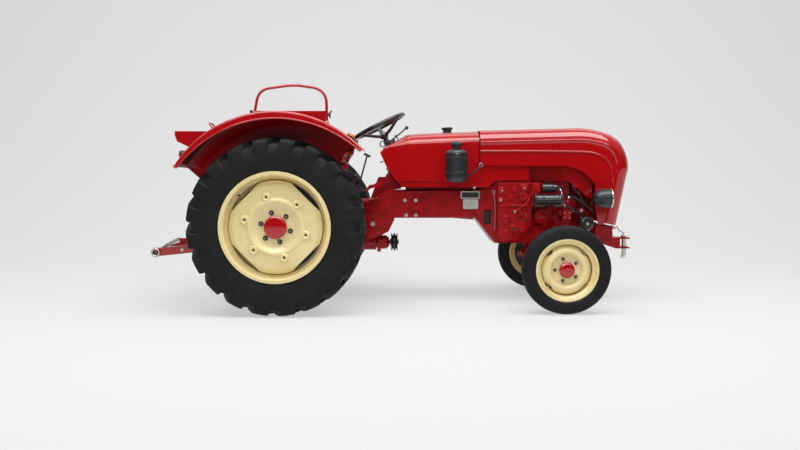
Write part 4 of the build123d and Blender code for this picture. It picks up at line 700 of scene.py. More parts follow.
bonnetSize = {
    "seam": 1.44, "half": .27, "shoulder": .105, "sheet": .004, "seamTop": 1.307,
    "lowerEdge": 1.04, "archStart": (2.04, 1.037), "archEnd": (2.296, .9),
    "noseFoot": (2.4802, .59), "step": .0035,
}


def bonnetRidge():
    # the outline of the hood in the side view, from the seam over the nose and down
    top = np.array([(bonnetSize["seam"], bonnetSize["seamTop"]), (2.15, 1.325)])
    parts, way, at = [evenly(top, 60)], top[1] - top[0], top[1]
    for target, steps in (((2.4, 1.286), 30), ((2.518, 1.192), 24), ((2.565, 1.06), 20), ((2.554, .96), 16)):
        arc, way = arcTo(at, way, target, steps)
        parts.append(arc[1:])
        at = arc[-1]
    parts.append(evenly([at, bonnetSize["noseFoot"]], 40)[1:])
    return evenly(np.concatenate(parts), 220)


def makeBonnet():
    size = bonnetSize
    ridge = bonnetRidge()
    flat, bend = size["half"] - size["shoulder"], size["shoulder"]
    turn = np.linspace(0, np.pi / 2, 16)
    arc = np.stack([flat + bend * np.sin(turn), .004 + (bend - .004) * (1 - np.cos(turn))], -1)
    crown = np.stack([np.linspace(0, flat, 8), .004 * np.linspace(0, 1, 8) ** 2], -1)[:-1]
    step = np.array([(size["half"] - size["step"] * .3, bend + .003),
                     (size["half"] - size["step"], bend + .006)])
    section = np.concatenate([crown, arc, step])
    arch, way = arcTo(size["archStart"], (1, 0), size["archEnd"], 30)
    line = np.concatenate([
        evenly([(size["seam"], size["lowerEdge"]), size["archStart"]], 60), arch[1:],
        evenly([size["archEnd"], (2.301, .725), (2.322, .597)], 30)[1:],
    ])
    # the lower edge is shared out so that the wall's rulings stay square to it
    along = np.array([0, .5, .64, .8, .93, 1.0])
    below = np.array([0, .565, .72, .84, .95, 1.0])
    length = np.linspace(0, 1, len(ridge))
    lineRun = np.concatenate([[0], np.cumsum(np.linalg.norm(np.diff(line, axis=0), axis=1))])
    at = np.interp(length, along, below) * lineRun[-1]
    edge = np.stack([np.interp(at, lineRun, line[:, i]) for i in range(2)], -1)
    lower = {"rows": 22, "line": edge, "half": size["half"] - size["step"]}
    grid = crownedSheet(ridge, section, lower)
    shell = bothHalves(grid)
    hood = makePiece("bonnetShell", [(shell, redPaint)], "bonnet", ["bonnet"],
                     outward=(0, 0, 1), thick=size["sheet"], smooth=45)
    # the slot for the grille is cut through the nose
    low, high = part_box("grille")
    middle = np.array(((low.x + high.x) / 2 - rearAxleX, 0, (low.z + high.z) / 2))
    tall, wide = (high.z - low.z) / 2 + .001, (high.y - low.y) / 2 + .001
    turn = np.linspace(0, np.pi, 24)
    upper = np.stack([wide * np.cos(turn), tall - wide + wide * np.sin(turn)], -1)
    slotLine = np.concatenate([upper, -upper])
    cutter = makePiece("slotCutter",
                       [(prism(slotLine, middle - (.06, 0, 0), (0, 1, 0), (0, 0, 1), .3), redPaint)],
                       "bonnet")
    cut = hood.modifiers.new("slot", "BOOLEAN")
    cut.operation, cut.object, cut.solver = "DIFFERENCE", cutter, "EXACT"
    graph = bpy.context.evaluated_depsgraph_get()
    finished = bpy.data.meshes.new_from_object(hood.evaluated_get(graph))
    hood.modifiers.clear()
    hood.data = finished
    bpy.data.objects.remove(cutter)
    finished.shade_smooth()
    finished.set_sharp_from_angle(angle=np.radians(45))
    # raised beads along both sides: the lower one turns down behind the nose
    bead = {"at": size["half"] - size["step"] + .001, "radius": .0075}
    lowBead = smoothPath([(1.442, 1.147), (1.75, 1.147), (2.03, 1.144), (2.18, 1.142), (2.26, 1.136),
                          (2.33, 1.116), (2.375, 1.086), (2.404, 1.052), (2.418, 1.015), (2.426, .956),
                          (2.428, .9)], 8)
    parts = []
    for name, way in sides:
        path = inSpace(lowBead, way * bead["at"])
        thin = bead["radius"] * np.clip(np.linspace(len(path) / 6, 0, len(path)), 0, 1)
        parts.append((pipe(path, thin + .0002, 12, squash=.8, up=(0, 1, 0)), redPaint))
    makePiece("bonnetBeads", parts, "bonnet")
    print("bonnet made")


def makeCowl():
    size = {
        "half": .252, "bottom": .88,
        "ridge": [(1.434, 1.305), (1.154, 1.296), (.935, 1.286), (.893, 1.28), (.822, 1.238), (.73, 1.187),
                  (.696, 1.15), (.695, 1.139), (.757, 1.001), (.806, .933), (.862, .88)],
        "tuckTop": .925, "tuck": .009,
        "skirt": [(1.38, .88), (1.503, .88), (1.558, .93), (1.808, .93), (1.808, 1.06), (1.38, 1.06)],
    }
    soft = (0, .3, .05, .06, .2, .03, .012, .012, .1, .1, 0)
    ridge = evenly(rounded(size["ridge"], soft, 6, closed=False), 150)
    roof = smoothPath([(0, 0), (.08, .003), (.15, .013), (.2, .031), (.229, .051), (.2415, .064)], 5)
    section = np.concatenate([roof,
                              [(.2425, .0665), (.2445, .0685), (.2475, .071), (.25, .082), (.251, .098)]])
    # behind the dash the section shrinks, so that the edge of the rear face stays crisp
    share = np.clip((ridge[:, 0] - .7) / .2, 0.18, 1) * np.where(ridge[:, 1] < 1.145, .18, 1)
    run = np.gradient(ridge, axis=0)
    run /= np.linalg.norm(run, axis=1)[:, None]
    inward = np.stack([-run[:, 1], run[:, 0]], -1)
    level = np.abs(inward[:, 1:]) <= .2
    inward = np.where((inward[:, 1:] > .2) | level & (inward[:, :1] < 0), -inward, inward)
    inward[ridge[:, 1] < 1.14] = (.83, .56)
    top = ridge[:, None] + section[None, :, 1:2] * share[:, None, None] * inward[:, None]
    roofRows = np.arange(len(ridge)) < np.argmin(ridge[:, 0])
    top[roofRows, :, 0] = np.minimum.accumulate(top[roofRows, :, 0], axis=0)
    outmost = section[-1, 0]
    spare = (size["half"] - outmost) * (section[None, :, 0] / outmost) ** 8 * (1 - share[:, None])
    width = section[None, :, 0] + spare
    foot = np.stack([np.clip(top[:, -1, 0], .862, None), np.full(len(ridge), size["bottom"])], -1)
    # the wall runs down to a band along the bottom that is tucked in
    height = top[:, -1:, 1]
    tuckAt = np.clip((height - size["tuckTop"]) / (height - size["bottom"] + 1e-6), 0, .98)
    fall = np.linspace(0, 1, 15)[None, 1:]
    t = np.concatenate([tuckAt * fall, tuckAt + (1 - tuckAt) * np.array([[.02, .5, 1]])], 1)
    wall = top[:, -1:] * (1 - t[..., None]) + foot[:, None] * t[..., None]
    wallWidth = width[:, -1:] + (size["half"] - width[:, -1:]) * np.clip(t * 2.5, 0, 1)
    wallWidth[:, -3:] -= size["tuck"] * np.clip(tuckAt * 8, 0, 1)
    side = np.concatenate([top, wall], 1)
    y = np.concatenate([np.broadcast_to(width, (len(ridge), len(section))), wallWidth], 1)
    grid = np.stack([side[..., 0], -y, side[..., 1]], -1)
    makePiece("cowlShell", painted(redPaint, bothHalves(grid)), "chassis", ["tank_cowl"],
              outward=(0, 0, 1), smooth=45)
    skirt = rounded(size["skirt"], (.003, .02, .02, .004, .02, .003), 5)
    walls = []
    for name, way in sides:
        walls.append((sidePrism(skirt, way * (size["half"] - .01), way * .004), redPaint))
    # the cowl's floor and the end wall towards the hood are in the darker copy of the red paint: painted
    # shade
    floor = rectangle((.868, .884), (1.43, .8805))
    walls.append((prism(floor, (0, 0, 0), (1, 0, 0), (0, 0, 1), .48, both=True), redPaintedShade))
    walls.append((prism([(-.243, .88), (.243, .88), (.235, 1.21), (.17, 1.278), (-.17, 1.278), (-.235, 1.21)],
                        (1.425, 0, 0), (0, 1, 0), (0, 0, 1), .004), redPaintedShade))
    # the dash's support between the pedestal and the tank, and a sheet that closes the gap over the engine,
    # all in the darker copy of the red paint: painted shade
    support = [(.742, 1.02), (.757, .985), (.8, .925), (.852, .877), (.885, .877), (.835, .96), (.775, 1.05)]
    walls.append((prism(support, (0, 0, 0), (1, 0, 0), (0, 0, 1), .2, both=True), redPaintedShade))
    for name, way in sides:
        walls.append((block((1.48, way * .226, .905), (1.83, way * .232, .96)), redPaintedShade))
    makePiece("cowlSkirt", walls, "chassis", bevel=.0015)
    print("cowl made")


# the mudguards' arc in the side view
guardArc = {"x": .007, "z": .586, "radius": .812}


def ray(angle):
    # the direction at that angle, in degrees, in the side view
    angle = np.radians(angle)
    return np.array((np.cos(angle), 0, np.sin(angle)))


def onGuard(angle, depth):
    # a point of the side view at that angle round the mudguards' arc and that deep inside it
    angle, radius = np.radians(angle), guardArc["radius"] - np.asarray(depth)
    return np.stack([guardArc["x"] + radius * np.cos(angle), guardArc["z"] + radius * np.sin(angle)], -1)


def makeMudguards():
    # across: from the inner wall over a low crown to the rolled edge and down its lip, carried round an arc
    size = {
        "front": {"right": 43.5, "left": 52.5}, "rear": 147, "setback": 5, "inner": .47, "outer": .8115,
        "lip": .05, "lipEnd": .024, "roll": .014, "wire": .006, "sheet": .004, "endWire": .0065,
        "wall": .0045, "undersideShadeDepth": .0055, "undersideShadeInset": .004, "rivets": 6, "rivetEnds": (12, 8),
        "rivetInset": .022, "rivet": (.008, .0035),
        "rearCorners": ((148.8, .149), (157.3, .349)),
        "frontCorners": {"right": ((29, .443), (41.6, .34), (45.7, .192)),
                         "left": ((28.3, .434), (48.5, .219))},
    }
    steps = 110
    share = np.linspace(-1, 1, steps)
    lip = size["lipEnd"] + (size["lip"] - size["lipEnd"]) * (1 - np.abs(share) ** 2.4)
    bend = np.linspace(0, np.pi / 2, 8)
    flat = size["outer"] - size["roll"]
    crown = np.stack([np.linspace(size["inner"], flat, 12), -.008 * np.linspace(1, 0, 12) ** 2], -1)
    roll = np.stack([flat + size["roll"] * np.sin(bend), -size["roll"] * (1 - np.cos(bend))], -1)[1:]
    drop = np.linspace(0, 1, 7)[1:]
    y = np.concatenate([crown[:, 0], roll[:, 0], np.full(len(drop), size["outer"])])
    above = np.concatenate([crown[:, 1], roll[:, 1], np.full(len(drop), -size["roll"])])
    below = np.concatenate([np.zeros(len(crown) + len(roll)), drop])

    for name, way in sides:
        turn = np.linspace(size["front"][name], size["rear"], steps)
        depth = -above[None] + below[None] * (lip - size["roll"])[:, None]
        points = inSpace(onGuard(turn[:, None], depth), way * y)
        cover = points.reshape(-1, 3), [gridFaces(steps, len(y))]
        makePiece(f"mudguardCover_{name}", [(cover, redPaint)], "chassis", [f"mudguard_{name}"],
                  outward=(0, 0, 1), thick=size["sheet"], smooth=60)
        # the wire rolled into the lip's edge, and the ones across both ends
        lipLine = inSpace(onGuard(turn, lip), way * (size["outer"] - .003))
        parts = painted(redPaint, pipe(lipLine, size["wire"], 10))
        for end in (0, -1):
            parts += painted(redPaint, pipe(evenly(points[end], 40), size["endWire"], 10, up=ray(turn[end])))
        # a darker red sheet under the cover: painted shade on the underside
        under = slice(2, len(crown))
        undersideShade = inSpace(onGuard(turn[2:-2, None], depth[2:-2, under] + size["undersideShadeDepth"]),
                         way * (y[under] - size["undersideShadeInset"]))
        parts += painted(redUndersideShade, (undersideShade.reshape(-1, 3), [gridFaces(steps - 4, undersideShade.shape[1])]))
        # the inner wall, from the arc down
        arc = onGuard(np.linspace(turn[0] + size["setback"], turn[-1], 60), .006)
        corners = [onGuard(*corner) for corner in (*size["rearCorners"], *size["frontCorners"][name])]
        foot = rounded([arc[-1], *corners, arc[0]], (0, *[.05] * len(corners), 0), 5, closed=False)
        plate = sidePrism(np.concatenate([arc, foot[1:-1]]), way * (size["inner"] + .001),
                          way * size["sheet"])
        parts += painted(redPaint, plate)
        edge = evenly(inSpace(foot, way * (size["inner"] + .002)), 90)
        parts += painted(redPaint, pipe(edge, size["wall"], 8))
        first, last = size["rivetEnds"]
        for angle in np.linspace(turn[0] + first, turn[-1] - last, size["rivets"]):
            at = inSpace(onGuard(angle, -.0005), way * (size["inner"] + size["rivetInset"]))
            parts += painted(redPaint, dome(at, ray(angle), *size["rivet"]))
        makePiece(f"mudguardEdges_{name}", parts, "chassis", smooth=40)
    print("mudguards made")


# Fittings

def circlePath(centre, axis, radius, steps=72, start=0):
    # centre + radius times (cos, sin) of the angle round the axis
    axis, first, second = crossFrame(axis)
    angle = start + np.linspace(0, 2 * np.pi, steps, endpoint=False)[:, None]
    return np.array(centre, float) + radius * (np.cos(angle) * first + np.sin(angle) * second)


def bolts(places, axis, size, height):
    return [shape for at in places for shape in bolt(at, axis, size, height)]


def painted(material, *shapes):
    return [(shape, material) for shape in shapes]


def ball(centre, radius, steps=28):
    # radius times (cos, sin) of the latitude, turned about an upright axis
    latitude = np.linspace(-np.pi / 2, np.pi / 2, steps // 2 + 1)
    return turned(np.stack([radius * np.sin(latitude), radius * np.cos(latitude)], -1), centre, upward, steps)


def makeSteering():
    size = {
        "hub": (.725, 0, 1.271), "tilt": 26, "radius": .205, "tube": .0165, "dish": .084,
        "grips": 48, "gripDepth": .02,
        "spokes": 3, "firstSpoke": 3, "spokeWidth": (.0215, .015), "spokeSquash": .6,
        "spoke": [(.018, .004), (.06, .018), (.11, .042), (.16, .066), (.201, .084)],
        "hubLine": [(-.018, 0), (-.018, .028), (-.006, .034), (.012, .035), (.022, .03), (.028, .018),
                    (.029, 0)],
        "hubSoft": (0, .003, .006, .004, .006, .006, 0), "nutAt": .028, "nut": (.009, .008),
        "box": ((.885, .75), (1.035, .86)), "boxCorner": .025, "wall": .16, "boxDepth": .07,
        "lid": .007, "lidInset": .014, "lidCorner": .02, "boltInset": .026, "bolt": .006,
        "shaft": (.96, .83), "shaftSize": (.034, .0177),
        # distance below the hub, radius and length
        "column": ((.09, .021, .07), (.072, .029, .026)), "neck": (.021, .014, .032),
        "throttle": (.898, -.06, 1.331), "leverFoot": (.058, -.02), "sag": .006, "lever": .0055,
        "knob": .0145,
    }
    tilt = np.radians(size["tilt"])
    up, left = np.array((-np.sin(tilt), 0, np.cos(tilt))), np.array((0, 1.0, 0))
    back, hub = np.cross(up, left), np.array(size["hub"])
    turn = np.linspace(0, 2 * np.pi, 288, endpoint=False)
    ring = np.cos(turn)[:, None] * left + np.sin(turn)[:, None] * back
    tube = size["tube"] * (1 - size["gripDepth"] * (1 + np.cos(size["grips"] * turn)) / 2)
    parts = painted(blackGloss, pipe(hub + size["dish"] * up + size["radius"] * ring, tube, 18, closed=True))
    line = smoothPath(size["spoke"], 7)
    for k in range(size["spokes"]):
        angle = np.radians(size["firstSpoke"] + k * 360 / size["spokes"])
        out = np.cos(angle) * left + np.sin(angle) * back
        path = hub + line[:, :1] * out + line[:, 1:] * up
        thick = np.linspace(*size["spokeWidth"], len(path))
        parts += painted(blackGloss, pipe(path, thick, 16, squash=size["spokeSquash"], up=up))
    parts += painted(blackGloss, lathed(size["hubLine"], size["hubSoft"], hub, up, 48, 4))
    parts += painted(plating, *bolt(hub + size["nutAt"] * up, up, *size["nut"]))
    makePiece("steeringRim", parts, "steering_wheel", ["steering_wheel"])

    wall = size["wall"]
    face = wall + size["boxDepth"]
    housing = rounded(rectangle(*size["box"]), size["boxCorner"], 6)
    lid = rounded(rectangle(*size["box"], size["lidInset"]), size["lidCorner"], 6)
    parts = painted(redCasting, sidePrism(housing, wall, size["boxDepth"]),
                    sidePrism(lid, face - .001, size["lid"]))
    corners = [(x, face + size["lid"] - .001, z) for x, z in rectangle(*size["box"], size["boltInset"])]
    parts += painted(redCasting, *bolts(corners, leftward, size["bolt"], size["bolt"]))
    shaftX, shaftZ = size["shaft"]
    parts += painted(redCasting, cylinder((shaftX, face, shaftZ), leftward, *size["shaftSize"]))
    for below, radius, length in size["column"]:
        parts += painted(blackGloss, cylinder(hub - below * up, up, radius, length))
    below, radius, length = size["neck"]
    parts += painted(blackGloss, cylinder(hub - below * up, up, radius, length, .001, 32))
    below, across = size["leverFoot"]
    foot, tip = hub - below * up + (0, across, 0), np.array(size["throttle"])
    bend = foot + .4 * (tip - foot) - (0, 0, size["sag"])
    parts += painted(blackGloss, hose([foot, bend, tip], size["lever"], 14), ball(tip, size["knob"]))
    makePiece("steeringColumn", parts, "chassis", ["steering_gear"], bevel=.001)
    print("steering made")


def makeAirCleaner():
    size = {
        "at": (1.258, -.362, 0),
        # height and radius
        "bowl": [(.919, 0), (.919, .056), (.927, .066), (.938, .077), (.95, .0805), (1.118, .082),
                 (1.133, .0795), (1.147, .068), (1.153, .05), (1.156, .03), (1.18, .03), (1.183, .042),
                 (1.199, .042), (1.21, .028), (1.216, 0)],
        "soft": (0, .006, .008, .01, .008, .01, .01, .01, .01, .004, .003, .003, .005, .01, 0),
        "straps": (.985, 1.092), "strap": [(-.01, .081), (-.009, .0846), (.009, .0846), (.01, .081)],
        "strapSoft": (0, .001, .001, 0), "strapBolt": (-.066, .06), "strapBoltSize": (.006, .012),
        "bracket": ((1.228, -.2525, 1.02), (1.288, -.3, 1.08)), "bracketCorner": .004,
        "drain": [(.9185, 0), (.9185, .02), (.911, .018), (.911, 0)],
        "clips": 3, "clipTurns": (.5, 2.1), "clip": [(.07, 1.135), (.083, 1.12), (.0835, 1.1)],
        "clipWire": .0028,
    }
    at = np.array(size["at"])
    parts = painted(airBlack, lathed(size["bowl"], size["soft"], at, upward, 96))
    for z in size["straps"]:
        parts += painted(blackSatin, lathed(size["strap"], size["strapSoft"], at + (0, 0, z), upward, 96, 3))
        parts += painted(zinc, *bolt(at + (*size["strapBolt"], z), backward, *size["strapBoltSize"]))
    parts += painted(airBlack, block(*size["bracket"], size["bracketCorner"]),
                     turned(size["drain"], at, upward, 6))
    first, step = size["clipTurns"]
    for k in range(size["clips"]):
        out = np.array((np.cos(first + k * step), np.sin(first + k * step), 0))
        wire = [at + radius * out + (0, 0, z) for radius, z in size["clip"]]
        parts += painted(zinc, pipe(wire, size["clipWire"], 8))
    makePiece("airCleanerBowl", parts, "chassis", ["air_cleaner"])
    print("air cleaner made")


def makeHeadLamps():
    size = {
        "back": 2.26, "y": .356, "z": .799,
        # distance from the lamp's back, and radius
        "shell": [(0, 0), (0, .018), (.005, .03), (.018, .045), (.04, .059), (.07, .0675), (.1, .0705),
                  (.117, .0715)],
        "rim": [(.122, .0714), (.1225, .0735), (.126, .0748), (.13, .074), (.132, .0715), (.133, .0675),
                (.129, .0665)],
        "glass": [(.129, .0672), (.1315, .054), (.1335, .036), (.1345, .018), (.135, 0)],
        # distance from the back, distance inward, radius, length and number of sides
        "stalk": ((.062, .086, .014, .03, 24), (.062, .0865, .026, .006, 32)),
        "cable": [(.004, 0, -.008), (-.014, -.02, -.03), (.01, -.06, -.05), (.05, -.083, -.04)],
        "cableRadius": .004,
    }
    parts = []
    for name, way in sides:
        at = np.array((size["back"], way * size["y"], size["z"]))
        for line, steps, material in (("shell", 4, airBlack), ("rim", 3, plating), ("glass", 4, clearGlass)):
            parts += painted(material, turned(smoothPath(size[line], steps), at, forward, 72))
        for x, inward, radius, length, count in size["stalk"]:
            foot = at + (x, -way * inward, 0)
            parts += painted(blackGloss, cylinder(foot, (0, way, 0), radius, length, .002, count))
        cable = at + np.array(size["cable"]) * (1, way, 1)
        parts += painted(hoseRubber, hose(cable, size["cableRadius"], 10))
    makePiece("headLampShells", parts, "bonnet", ["head_lamps"])
    print("head lamps made")


def makeGuardLamps():
    # an amber lamp on each mudguard's front, and a red one on a bracket behind
    size = {
        "y": .62, "seat": .0003, "front": {"right": 52.4, "left": 56}, "frontFoot": (.03, .01, .003),
        "amber": [(.009, .026), (.02, .0262), (.026, .022), (.0298, .012), (.03, 0)],
        "rear": 141.6, "rearHeight": .035, "rearFrom": .02, "rearFoot": (.027, .037, .004),
        "red": [(.018, .0255), (.026, .025), (.0285, .014), (.029, 0)],
        "bracketTurns": (143, 138.5), "bracketTops": ((-.026, .02), (-.02, .034)), "bracketWide": .03,
    }
    parts = []
    for name, way in sides:
        y, turn = way * size["y"], size["front"][name]
        foot, out = inSpace(onGuard(turn, -size["seat"]), y), ray(turn)
        parts += painted(blackSatin, cylinder(foot, out, *size["frontFoot"]))
        parts += painted(amberGlass, turned(smoothPath(size["amber"], 4), foot, out, 48))
        at = inSpace(onGuard(size["rear"], -size["seat"] - size["rearHeight"]), y)
        parts += painted(blackSatin, cylinder(at - (size["rearFrom"], 0, 0), forward, *size["rearFoot"]))
        parts += painted(redGlass, turned(smoothPath(size["red"], 4), at, backward, 48))
        low, high = (onGuard(turn, -size["seat"]) for turn in size["bracketTurns"])
        lowTop, highTop = size["bracketTops"]
        bracket = rounded([low, high, high + highTop, low + lowTop], (0, 0, .008, .008), 4)
        wide = way * size["bracketWide"]
        parts += painted(blackSatin, sidePrism(bracket, y - wide / 2, wide))
    makePiece("guardLamps", parts, "chassis", ["fender_lamps"])
    print("mudguard lamps made")


def makeStarter():
    size = {
        "at": (1.836, -.292, .781), "switchAt": (1.9, -.27, .873),
        "body": [(0, 0), (0, .044), (.006, .05), (.02, .05), (.022, .048), (.15, .048), (.152, .05),
                 (.196, .05), (.2, .046), (.201, .038), (.214, .036), (.214, 0)],
        "bodySoft": (0, .003, .003, .001, .001, .001, .001, .003, .003, .002, .004, 0),
        "switch": [(0, 0), (0, .033), (.072, .033), (.076, .03), (.104, .03), (.106, .026), (.106, 0)],
        "switchSoft": (0, .002, .003, .002, .002, .002, 0), "switchEnd": (.106, .018, .012),
        "endBolts": [(.2, -.024, .024), (.2, -.024, -.024)], "endBolt": (.005, .006),
        "terminals": [(.116, -.01, .004), (.116, .01, .004)], "terminal": (.005, .01),
        "plate": [(-.262, .735), (-.262, .905), (-.238, .912), (-.238, .735)], "plateX": 1.829,
        "plateDepth": .06, "foot": ((1.85, -.175, .751), (1.91, -.27, .811)), "corner": .004,
        "bands": (.012, .069, .182), "band": [(-.004, .049), (-.004, .0525), (.004, .0525), (.004, .049)],
        "cable": [(2.02, -.28, .879), (2.045, -.29, .88), (2.075, -.285, .845), (2.09, -.27, .8)],
        "link": [(2.018, -.26, .877), (2.036, -.262, .866), (2.044, -.285, .835), (2.05, -.292, .8)],
        "cableRadius": .006, "linkRadius": .0035,
    }
    at, switch = np.array(size["at"]), np.array(size["switchAt"])
    parts = painted(blackGloss, lathed(size["body"], size["bodySoft"], at, forward, 72, 3))
    parts += painted(zinc, *bolts(at + size["endBolts"], forward, *size["endBolt"]))
    parts += painted(blackGloss, lathed(size["switch"], size["switchSoft"], switch, forward, 56, 3))
    end, radius, length = size["switchEnd"]
    parts += painted(hoseRubber, cylinder(switch + (end, 0, 0), forward, radius, length, .002, 32))
    parts += painted(plating, *bolts(switch + size["terminals"], forward, *size["terminal"]))
    plate = rounded(size["plate"], size["corner"], 3)
    parts += painted(redCasting, prism(plate, (size["plateX"], 0, 0), leftward, upward, size["plateDepth"]),
                     block(*size["foot"], size["corner"]))
    for x in size["bands"]:
        parts += painted(blackSatin, turned(size["band"], at + (x, 0, 0), forward, 64, closed=True))
    parts += painted(hoseRubber, hose(size["cable"], size["cableRadius"]))
    parts += painted(plating, hose(size["link"], size["linkRadius"], 10))
    makePiece("starterMotor", parts, "chassis", ["starter"], bevel=.001)
    print("starter made")


def makeFilterAndPump():
    size = {
        "filterAt": (2.233, -.205, .61), "filterNut": (.1, .009, .01),
        "can": [(-.145, 0), (-.145, .03), (0, .03), (.002, .05), (.01, .054), (.082, .054), (.094, .048),
                (.1, .034), (.1, 0)],
        "canSoft": (0, .002, .002, .006, .004, .012, .008, .004, 0),
        "pump": [(2.056, -.172), (2.12, -.172), (2.12, -.252), (2.112, -.26), (2.064, -.26), (2.056, -.252)],
        "pumpFoot": .632, "pumpHeight": .116, "corner": .004,
        "outlets": (2.073, 2.103), "outletAt": (-.215, .747), "outletNut": (.021, .01, .012),
        "outlet": [(0, 0), (0, .0145), (.018, .0145), (.02, .011), (.03, .011), (.031, .009), (.044, .009),
                   (.044, 0)],
        # an injection pipe, its x measured from the outlet
        "injection": [(0, -.215, .785), (0, -.218, .83), (-.06, -.226, .868), (-.12, -.232, .905),
                      (-.15, -.232, .935)],
        "injectionRadius": .0035,
        # end, radius and length
        "drums": (((2.088, -.262, .672), .026, .016), ((2.045, -.17, .691), .02, .07)),
        "lidBolts": ((2.069, .653), (2.107, .691)), "lidBoltY": -.277, "lidBolt": .004,
    }
    at = np.array(size["filterAt"])
    parts = painted(blackGloss, lathed(size["can"], size["canSoft"], at, rightward, 72))
    out, *nut = size["filterNut"]
    parts += painted(zinc, *bolt(at - (0, out, 0), rightward, *nut))
    makePiece("oilFilterCan", parts, "chassis", ["oil_filter"])

    foot = (0, 0, size["pumpFoot"])
    housing = prism(rounded(size["pump"], size["corner"], 3), foot, forward, leftward, size["pumpHeight"])
    parts = painted(redCasting, housing)
    above, *nut = size["outletNut"]
    for x in size["outlets"]:
        outlet = np.array((x, *size["outletAt"]))
        parts += painted(redCasting, turned(size["outlet"], outlet, upward, 24))
        parts += painted(zinc, *bolt(outlet + (0, 0, above), upward, *nut))
        path = np.array(size["injection"]) + (x, 0, 0)
        parts += painted(darkSteel, hose(path, size["injectionRadius"], 10))
    for end, radius, length in size["drums"]:
        parts += painted(redCasting, cylinder(end, rightward, radius, length, .003, 32))
    places = [(x, size["lidBoltY"], z) for x, z in rectangle(*size["lidBolts"])]
    parts += painted(zinc, *bolts(places, rightward, size["lidBolt"], size["lidBolt"]))
    makePiece("pumpBody", parts, "chassis", ["injection_pump"], bevel=.001)
    print("oil filter and injection pump made")


